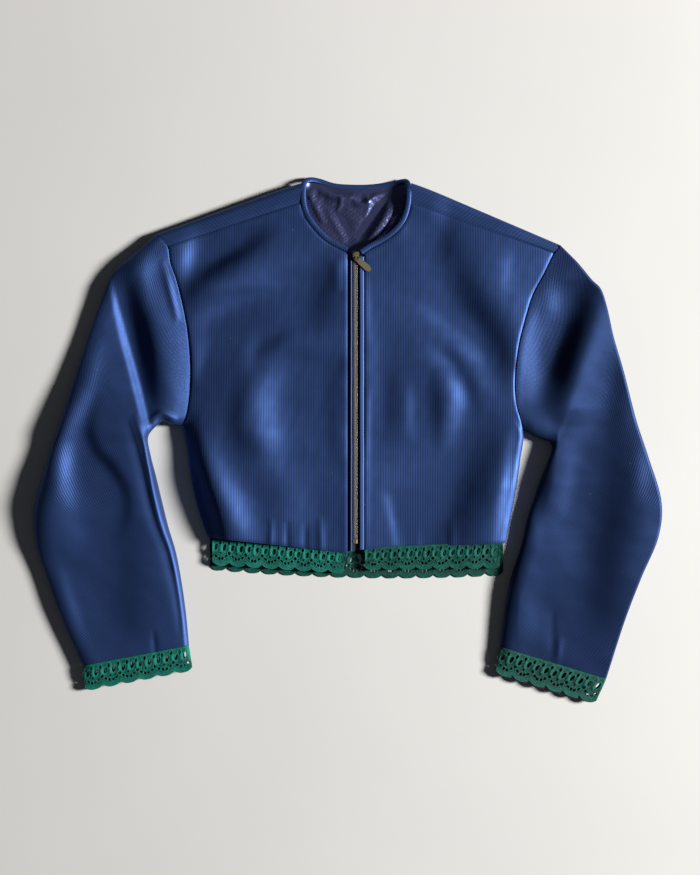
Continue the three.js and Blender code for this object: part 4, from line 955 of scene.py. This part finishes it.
def lace_strip(name, repeats, depth, place, seed):
    """A strip of corded lace. The grid is (along, down); cells whose middle lies in a hole are left out and
    the grid's points beside them move onto the hole's outline. The surface rises in rims round the holes,
    in three cords along the scallops and in a dome on each petal."""
    columns, rows = repeats * LACE_COLUMNS + 1, LACE_ROWS
    u = np.tile(np.linspace(0, repeats, columns), (rows, 1))
    v = np.linspace(0, 1, rows)[:, None] * (LACE_FULL - scallop_notch(u))
    wobble = np.random.default_rng(seed).uniform(-0.45, 0.45, (97, 2))
    mid_u = (u[:-1, :-1] + u[1:, 1:]) / 2
    mid_v = (v[:-1, :-1] + v[1:, 1:]) / 2
    keep = hole_field(mid_u, mid_v, repeats, wobble)[0] > 1
    q, to_u, to_v = hole_field(u, v, repeats, wobble)
    touch = np.zeros(u.shape, int)
    for di in (0, 1):
        for dj in (0, 1):
            touch[di:rows - 1 + di, dj:columns - 1 + dj] += keep
    inner = np.zeros(u.shape, bool)
    inner[1:-1, 1:-1] = True
    border = inner & (touch > 0) & (touch < 4)
    u = np.where(border, to_u / LACE_PITCH, u)
    v = np.where(border, to_v, v)
    part = u - np.floor(u)
    edge = LACE_FULL - scallop_notch(u) - v
    rim = 0.8 * np.exp(-(((q - 1.32) / 0.24) ** 2))
    cords = sum(height * np.exp(-(((edge - at) / width) ** 2)) for at, width, height in LACE_CORDS)
    petal_at = np.minimum(np.abs(part - 0.5), np.minimum(part, 1 - part)) * LACE_PITCH
    petal = 1.5 * np.exp(-((petal_at / 2.3) ** 2)) * smooth((v - 1) / 4) * smooth((24 - v) / 7)
    head = 0.5 * np.exp(-(((v - 1.6) / 1.1) ** 2))
    stitch = 0.1 * np.sin(v * 2 * np.pi / 1.9 + petal_at * 0.9) * smooth((26 - v) / 6)
    high = np.maximum(np.maximum(rim, cords), np.maximum(petal, head)) + stitch
    high *= np.where(border, 0.35, 1.0)
    x, y, z = place(u / repeats, v / LACE_FULL * depth)
    top = np.stack([x, y, z - LACE + LACE_GROUND + high * 0.75], axis=-1)
    low = np.stack([x, y, z - LACE], axis=-1)
    ids = np.arange(rows * columns).reshape(rows, columns)
    quads = grid_quads(ids)[keep]
    facing_up = np.cross(top[0, 1] - top[0, 0], top[1, 0] - top[0, 0])[2] > 0
    if not facing_up:
        quads = quads[:, ::-1]
    count = rows * columns
    edges = edges_of(quads)
    walls = rim_walls(edges[is_open(edges, count)], count)
    faces = np.concatenate([quads, quads[:, ::-1] + count, walls])
    used, packed = np.unique(faces, return_inverse=True)
    points = np.concatenate([top.reshape(-1, 3), low.reshape(-1, 3)])[used]
    uv = np.stack([u * LACE_PITCH, v], axis=-1).reshape(-1, 2)
    uv = np.concatenate([uv, uv])[faces.ravel()]
    item = new_object(name, points, packed.reshape(faces.shape), uv, smooth_angle=60)
    # the lace's height, which its material reads to paint shade where the lace lies low
    raised = np.concatenate([high.ravel(), np.zeros(count)])[used]
    item.data.attributes.new("raised", "FLOAT", "POINT").data.foreach_set("value", raised.astype(np.float32))
    return item


HEM_TUCK = 3.0  # how far the front lace reaches up under the cloth


def front_lace(side):
    """Front hem lace along the hem's own line; its depth changes from drop to fall along it."""
    lace = side.lace_front
    count = int(round(abs(lace["x1"] - lace["x0"]) / LACE_PITCH))
    longest = max(lace["drop"], lace["fall"]) + HEM_TUCK

    def place(u, v):
        depth = mix(lace["drop"], lace["fall"], u) + HEM_TUCK
        down = v / longest * depth
        x = mix(lace["x0"], lace["x1"], u)
        y = mix(lace["y0"], lace["y1"], u) + HEM_TUCK + 1.5 - down
        wave = 0.5 * np.sin(u * count * 2 * np.pi * 0.5 + 1) * smooth(down / 20)
        z = mix(7.9, 7.6, smooth(down / 30)) + wave
        return x, y, z

    return lace_strip(f"hem_lace_front_{side.name}_guipure", count, longest, place, 31 + len(side.name))


def back_lace():
    """Back hem lace along the bowed hem, flat on the surface."""
    start, end = RIGHT.side_edge.at(0), LEFT.side_edge.at(0)
    inset = 2.5

    def place(u, v):
        x = mix(start[0] + inset, end[0] - inset, u)
        chord = mix(start[1], end[1], u) - SEAM * 2 - HEM_BOW * 4 * u * (1 - u)
        z = LACE + 0.12 * (1 + np.sin(2 * np.pi * 5 * u))
        return x, chord - v * mix(1.16, 0.98, 4 * u * (1 - u)), z

    return lace_strip("hem_lace_back_guipure", 17, LACE_FULL, place, 41)


def cuff_lace(side, layer):
    """One layer of a cuff's lace: it leaves the sleeve's edge along its own slope and flattens out."""
    upper = layer == "upper"
    outer, inner = side.cuff_drop
    total = side.armhole.total
    depth, gap, end_top = 35.2, 0.4, 7.0

    def place(u, v):
        share = u if side is RIGHT else 1 - u
        d = mix(1.0, total - 1.0, share)
        edge = sleeve_surface(side, np.ones(d.shape), d, upper)
        dx, dy = (mix(outer[k], inner[k], share) / depth for k in (0, 1))
        down = v + gap
        _, _, out, inn, row = sleeve_point(side, np.ones(d.shape), d)
        arch = rise(out, row["out"]) * rise(inn, row["in"])
        middle = row["side"] + (SEAM + LACE if upper else -SEAM)
        start = np.maximum(edge[..., 2], middle) if upper else np.minimum(edge[..., 2] + LACE, middle)
        flat = mix(middle, end_top + 1.4, arch) if upper else mix(middle, LACE, arch)
        return edge[..., 0] + dx * down, edge[..., 1] + dy * down, mix(start, flat, smooth(v / depth))

    return lace_strip(f"cuff_lace_{layer}_{side.name}_guipure", 6, depth, place, 51 + 3 * upper + len(side.name))


# Materials
def new_material(name):
    """A material with a bare Principled shader, and the object's coordinates that place its patterns."""
    material = bpy.data.materials.new(name)
    material.use_nodes = True
    tree = material.node_tree
    tree.nodes.clear()
    out = tree.nodes.new("ShaderNodeOutputMaterial")
    shader = tree.nodes.new("ShaderNodeBsdfPrincipled")
    tree.links.new(shader.outputs[0], out.inputs[0])
    place = tree.nodes.new("ShaderNodeTexCoord").outputs["Object"]
    return material, tree, shader, place


def fill(tree, item, inputs):
    """Link a node's inputs to sockets, or set them to plain values."""
    for key, value in inputs.items():
        if isinstance(value, bpy.types.NodeSocket):
            tree.links.new(value, item.inputs[key])
        else:
            item.inputs[key].default_value = value


def add_node(tree, kind, inputs=None, **settings):
    item = tree.nodes.new(kind)
    for key, value in settings.items():
        setattr(item, key, value)
    fill(tree, item, inputs or {})
    return item


def maths(tree, operation, a, b=0.0, c=0.0, clamp=False):
    item = add_node(tree, "ShaderNodeMath", {0: a, 1: b, 2: c}, operation=operation, use_clamp=clamp)
    return item.outputs[0]


def mixed(tree, share, a, b):
    """Colour a share of the way from a to b."""
    return add_node(tree, "ShaderNodeMix", {0: share, 6: a, 7: b}, data_type="RGBA").outputs[2]


def noise(tree, place, scale, detail):
    return add_node(tree, "ShaderNodeTexNoise", {"Vector": place, "Scale": scale, "Detail": detail}).outputs[0]


def bump(tree, height, strength, distance):
    """Normal of a surface raised by a height, with the distance of a height of 1 in millimetres."""
    inputs = {"Height": height, "Strength": strength, "Distance": distance * MM}
    return add_node(tree, "ShaderNodeBump", inputs).outputs[0]


def new_group(name, inputs, outputs):
    tree = bpy.data.node_groups.new(name, "ShaderNodeTree")
    for label, kind, value in inputs:
        socket = tree.interface.new_socket(name=label, in_out="INPUT", socket_type=kind)
        if value is not None:
            socket.default_value = value
    for label, kind in outputs:
        tree.interface.new_socket(name=label, in_out="OUTPUT", socket_type=kind)
    return tree, tree.nodes.new("NodeGroupInput").outputs, tree.nodes.new("NodeGroupOutput").inputs


def use_group(tree, group, inputs):
    item = add_node(tree, "ShaderNodeGroup", node_tree=group)
    fill(tree, item, inputs)
    return item.outputs


def ridges(tree, place, pitch):
    """Round ridges at a pitch along one coordinate: |sin(pi * place / pitch)|."""
    wave = maths(tree, "SINE", maths(tree, "MULTIPLY", maths(tree, "DIVIDE", place, pitch), math.pi))
    return maths(tree, "ABSOLUTE", wave)


def cord_weave_group():
    """Cords along one direction with fine yarns across them. Height is |sin| across raised to a power
    below one, so grooves are narrow; each yarn adds a little on top of the cords. The second output
    marks the grooves, where the materials paint shade."""
    tree, given, put = new_group("cord_weave", [
        ("Place", "NodeSocketVector", None),
        ("Turn", "NodeSocketFloat", 0.0),
        ("Cord", "NodeSocketFloat", 0.0033),
        ("Yarn", "NodeSocketFloat", 0.0011),
        ("Check", "NodeSocketFloat", 0.2),
    ], [("Height", "NodeSocketFloat"), ("Groove", "NodeSocketFloat")])
    turned = add_node(
        tree, "ShaderNodeVectorRotate", {"Vector": given["Place"], "Angle": given["Turn"]}, rotation_type="Z_AXIS"
    )
    part = add_node(tree, "ShaderNodeSeparateXYZ", {0: turned.outputs[0]})
    slip = maths(tree, "MULTIPLY_ADD", noise(tree, given["Place"], 30.0, 2.0), 0.0011, -0.0005)
    cord = ridges(tree, maths(tree, "ADD", part.outputs[0], slip), given["Cord"])
    cord = maths(tree, "POWER", cord, 0.65)
    yarn = ridges(tree, part.outputs[1], given["Yarn"])
    height = maths(tree, "MULTIPLY_ADD", yarn, given["Check"], cord)
    tree.links.new(height, put["Height"])
    tree.links.new(maths(tree, "SUBTRACT", 1.0, cord, clamp=True), put["Groove"])
    return tree


def lint_group():
    """Sparse pale specks of lint, from the bright ends of a fine noise."""
    tree, given, put = new_group("lint", [
        ("Place", "NodeSocketVector", None),
        ("Amount", "NodeSocketFloat", 0.5),
    ], [("Mask", "NodeSocketFloat")])
    cells = add_node(tree, "ShaderNodeTexVoronoi", {"Vector": given["Place"], "Scale": 95.0, "Randomness": 1.0})
    dot = maths(tree, "LESS_THAN", cells.outputs["Distance"], 0.045)
    chosen = add_node(tree, "ShaderNodeSeparateColor", {0: cells.outputs["Color"]})
    some = maths(tree, "GREATER_THAN", chosen.outputs[0], 0.965)
    mask = maths(tree, "MULTIPLY", maths(tree, "MULTIPLY", dot, some), given["Amount"])
    tree.links.new(mask, put["Mask"])
    return tree


CORD_WEAVE = cord_weave_group()
LINT = lint_group()


NAVY_DEEP, NAVY_PALE = (0.024, 0.050, 0.150), (0.033, 0.067, 0.195)


def corded_satin(name, turn=0.0, check=0.2, pitch=CORD_PITCH, dark=1.0, relief=0.26):
    """Navy satin over cords: a tinted sheen, painted shade in the grooves, faint slubs and lint. Dark
    scales both navy tones: above 1 it is painted light, below 1 painted shade.
    """
    material, tree, shader, place = new_material(name)
    uv = add_node(tree, "ShaderNodeUVMap", uv_map="cloth").outputs[0]
    weave = use_group(tree, CORD_WEAVE, {
        "Place": uv, "Turn": turn, "Cord": pitch * MM, "Yarn": 1.3 * MM, "Check": check,
    })
    lint = use_group(tree, LINT, {"Place": place, "Amount": 0.35})
    fine = noise(tree, place, 900.0, 2.0)
    # dark scales both navy tones: above 1 it is painted light, below 1 painted shade
    deep, pale = ((*(value * dark for value in navy), 1) for navy in (NAVY_DEEP, NAVY_PALE))
    tone = mixed(tree, noise(tree, place, 14.0, 4.0), deep, pale)
    # painted shade: the cords' grooves darkened towards a deep navy
    tone = mixed(tree, maths(tree, "MULTIPLY", weave["Groove"], 0.3), tone, (0.004, 0.009, 0.03, 1))
    height = maths(tree, "MULTIPLY_ADD", fine, 0.12, weave["Height"])
    fill(tree, shader, {
        "Base Color": mixed(tree, lint["Mask"], tone, (0.45, 0.45, 0.48, 1)),
        "Roughness": maths(tree, "MULTIPLY_ADD", fine, 0.10, 0.455),
        "Metallic": 0.72,
        "Specular IOR Level": 0.08,
        "Normal": bump(tree, height, relief, 0.4),
    })
    return material


def satin_lining():
    """Shiny violet-navy lining with fine crushed creases."""
    material, tree, shader, place = new_material("crushed_satin_lining")
    soft = noise(tree, place, 25.0, 5.0)
    fine = noise(tree, place, 420.0, 3.0)
    fill(tree, shader, {
        "Base Color": mixed(tree, soft, (0.040, 0.048, 0.125, 1), (0.120, 0.135, 0.300, 1)),
        "Roughness": maths(tree, "MULTIPLY_ADD", fine, 0.2, 0.22),
        "Metallic": 0.8,
        "Normal": bump(tree, maths(tree, "MULTIPLY_ADD", fine, 0.3, soft), 0.5, 1.2),
    })
    return material


def guipure(name, light):
    """Green cotton lace, with satin stitches at a slant. Its colour holds painted shade: deeper in the
    stitches' grooves and where the lace lies low, beside random tone; light below 1 darkens all of it
    as painted shade.
    """
    material, tree, shader, place = new_material(name)
    uv = add_node(tree, "ShaderNodeUVMap", uv_map="cloth").outputs[0]
    stitch = use_group(tree, CORD_WEAVE, {
        "Place": uv, "Turn": 0.9, "Cord": 0.55 * MM, "Yarn": 2.2 * MM, "Check": 0.3,
    })
    soft = noise(tree, place, 160.0, 3.0)
    # painted shade: the lace's height makes it darker where it lies low; the noise adds random tone
    raised = add_node(tree, "ShaderNodeAttribute", attribute_name="raised").outputs["Fac"]
    share = maths(tree, "MULTIPLY_ADD", raised, 0.8, soft, clamp=True)
    share = maths(tree, "SUBTRACT", share, 0.25, clamp=True)
    # light scales both greens; below 1 it is painted shade
    tone = mixed(tree, share, (0.0005, 0.030 * light, 0.023 * light, 1), (0.003, 0.185 * light, 0.140 * light, 1))
    # painted shade: darker in the stitches' grooves
    tone = mixed(tree, maths(tree, "MULTIPLY", stitch["Groove"], 0.7), tone, (0.001, 0.03, 0.024, 1))
    fill(tree, shader, {
        "Base Color": tone,
        "Roughness": 0.62,
        "Specular IOR Level": 0.15,
        "Sheen Weight": 0.05,
        "Sheen Tint": (0.2, 1.0, 0.75, 1),
        "Normal": bump(tree, maths(tree, "MULTIPLY_ADD", soft, 0.6, stitch["Height"]), 0.7, 0.3),
    })
    return material


def woven_tape():
    """Matt black tape with a fine, close weave, and painted shade in the weave's grooves."""
    material, tree, shader, place = new_material("black_zip_tape")
    weave = use_group(tree, CORD_WEAVE, {
        "Place": place, "Turn": 0.0, "Cord": 0.8 * MM, "Yarn": 0.5 * MM, "Check": 0.5,
    })
    fill(tree, shader, {
        # painted shade: darker in the grooves
        "Base Color": mixed(tree, weave["Groove"], (0.012, 0.013, 0.022, 1), (0.003, 0.003, 0.006, 1)),
        "Roughness": 0.85,
        "Normal": bump(tree, weave["Height"], 0.5, 0.2),
    })
    return material


def antique_brass(name, light, dark):
    """Aged brass: bright where it rubs, brown in the hollows, with fine pitting."""
    material, tree, shader, place = new_material(name)
    soft = noise(tree, place, 420.0, 4.0)
    share = maths(tree, "MULTIPLY_ADD", soft, 2.2, -0.6, clamp=True)
    fill(tree, shader, {
        "Base Color": mixed(tree, share, (*dark, 1), (*light, 1)),
        "Roughness": maths(tree, "MULTIPLY_ADD", soft, -0.25, 0.55),
        "Metallic": 0.9,
        "Normal": bump(tree, noise(tree, place, 1800.0, 3.0), 0.35, 0.2),
    })
    return material


def pale_floor():
    """Matt, faintly uneven, warm white."""
    material, tree, shader, place = new_material("pale_floor")
    fill(tree, shader, {
        "Base Color": mixed(tree, noise(tree, place, 3.0, 5.0), (0.50, 0.50, 0.49, 1), (0.56, 0.555, 0.54, 1)),
        "Roughness": 0.9,
        "Specular IOR Level": 0.05,
    })
    return material


# Camera: straight above, with the photograph's scale at the height of the cloth
VIEW_SCALE = 1.35  # millimetres of the cloth for one pixel of the 700 x 875 frame
FRAME_PIXELS = (700, 875)
VIEW_CENTRE = (2.7, 3.4, 8.0)
CAMERA_HEIGHT = 2200.0


def add_camera():
    data = bpy.data.cameras.new("camera")
    camera = bpy.data.objects.new("camera", data)
    bpy.context.scene.collection.objects.link(camera)
    camera.location = (VIEW_CENTRE[0] * MM, VIEW_CENTRE[1] * MM, CAMERA_HEIGHT * MM)
    data.sensor_fit = "VERTICAL"
    data.sensor_height = 24.0
    view_height = FRAME_PIXELS[1] * VIEW_SCALE
    data.lens = data.sensor_height * (CAMERA_HEIGHT - VIEW_CENTRE[2]) / view_height
    data.clip_end = 50.0
    bpy.context.scene.camera = camera


def add_area(name, azimuth, elevation, distance, size, power, color):
    data = bpy.data.lights.new(name, "AREA")
    data.shape = "DISK"
    data.size = size
    data.energy = power
    data.color = color
    lamp = bpy.data.objects.new(name, data)
    bpy.context.scene.collection.objects.link(lamp)
    a, e = math.radians(azimuth), math.radians(elevation)
    out = distance * math.cos(e)
    lamp.location = (out * math.cos(a), out * math.sin(a), distance * math.sin(e))
    lamp.rotation_euler = (math.pi / 2 - e, 0, a + math.pi / 2)


def add_light():
    """One large lamp to the right, low enough for the folds to show, and a faint even sky."""
    world = bpy.data.worlds.new("studio")
    bpy.context.scene.world = world
    world.use_nodes = True
    sky = world.node_tree.nodes["Background"]
    sky.inputs["Color"].default_value = (0.80, 0.86, 1.0, 1)
    sky.inputs["Strength"].default_value = 0.05
    add_area("key", azimuth=4, elevation=25, distance=6.0, size=1.2, power=1180, color=(1.0, 0.985, 0.96))
    view = bpy.context.scene.view_settings
    view.view_transform = "Standard"
    view.look = "None"


FLOOR_HALF = 6000.0
FLOOR_Z = -0.4  # just below the jacket, so that the two never share a plane


def add_floor():
    corners = [(-1, -1), (1, -1), (1, 1), (-1, 1)]
    points = [(x * FLOOR_HALF, y * FLOOR_HALF, FLOOR_Z) for x, y in corners]
    floor = new_object("floor", points, np.array([[0, 1, 2, 3]]))
    paint(floor, pale_floor())


def paint(item, material):
    item.data.materials.clear()
    item.data.materials.append(material)


def finish_piece(item, material, slot, *nodes):
    """Paint a piece of the jacket, and let it show instead of its solids."""
    paint(item, material)
    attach(item, "jacket")
    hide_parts(*nodes)
    return item


add_camera()
add_light()
add_floor()

SATIN = corded_satin("navy_corded_satin")
SLEEVE_WEAVE = dict(turn=0.75, check=0.55, pitch=FINE_CORD_PITCH, relief=0.42)
# Copies of one satin with painted light and shade: the right sleeve's colour a little lighter as painted light,
# the left sleeve's nearly halved as painted shade
SATIN_SLEEVE_PAINTED_LIGHT_AND_SHADE = {
    RIGHT: corded_satin("navy_corded_satin_right_sleeve", dark=1.05, **SLEEVE_WEAVE),
    LEFT: corded_satin("navy_corded_satin_left_sleeve", dark=0.52, **SLEEVE_WEAVE),
}
SATIN_BINDING = corded_satin("navy_satin_binding", turn=math.pi / 2 + 0.3, check=0.1, pitch=FINE_CORD_PITCH)
# One lace in three copies: the shaded and the under copy are darkened as painted shade, for the left side's lace,
# the lower cuff layers and the back lace
GUIPURE = guipure("guipure_lace_green", 1.0)
GUIPURE_SHADED = guipure("guipure_lace_green_shaded", 0.62)
GUIPURE_UNDER_PAINTED_SHADE = guipure("guipure_lace_green_under", 0.45)
TAPE = woven_tape()
BRASS = antique_brass("antique_brass_pull", (0.42, 0.36, 0.24), (0.16, 0.125, 0.075))
BRASS_TEETH = antique_brass("antique_brass_teeth", (0.66, 0.60, 0.54), (0.30, 0.27, 0.24))

for side in (RIGHT, LEFT):
    name = side.name
    # the left side's top lace takes the copy with painted shade
    top_lace = GUIPURE if side is RIGHT else GUIPURE_SHADED
    finish_piece(front_panel(side), SATIN, "corded_satin", f"front_{name}")
    finish_piece(sleeve(side), SATIN_SLEEVE_PAINTED_LIGHT_AND_SHADE[side], "corded_satin", f"sleeve_upper_{name}", f"sleeve_under_{name}")
    finish_piece(front_lace(side), top_lace, "guipure_lace", f"hem_lace_front_{name}")
    for layer, lace in (("upper", top_lace), ("under", GUIPURE_UNDER_PAINTED_SHADE)):
        finish_piece(cuff_lace(side, layer), lace, "guipure_lace", f"cuff_lace_{layer}_{name}")

finish_piece(back_panel(), SATIN, "corded_satin", "back")
finish_piece(back_lace(), GUIPURE_UNDER_PAINTED_SHADE, "guipure_lace", "hem_lace_back")
binding = finish_piece(neck_binding(), SATIN_BINDING, "corded_satin", "neck_binding")
finish_piece(back_lining(), satin_lining(), "satin_lining", "lining_back")

bands = [
    front_strip("front_band_right_fold", 2.4, 5.4, 251, -150, -1.5, 0.5, 0.9, waver=0.25),
    front_strip("front_band_left_fold", 15.6, 21.6, 246.6, -147.6, -1.7, 1.0, 1.0, waver=0.2, fall=0.22),
]
for band, node in zip(bands, ("front_band_right", "front_band_left")):
    finish_piece(band, SATIN, "corded_satin", node)
for name in ("zip_tape_right", "zip_tape_left"):
    paint(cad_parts[name], TAPE)
for name in ("zip_bottom_stop", "zip_slider", "zip_pull"):
    paint(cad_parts[name], BRASS)
finish_piece(zip_teeth(), BRASS_TEETH, "antique_brass", "zip_chain")
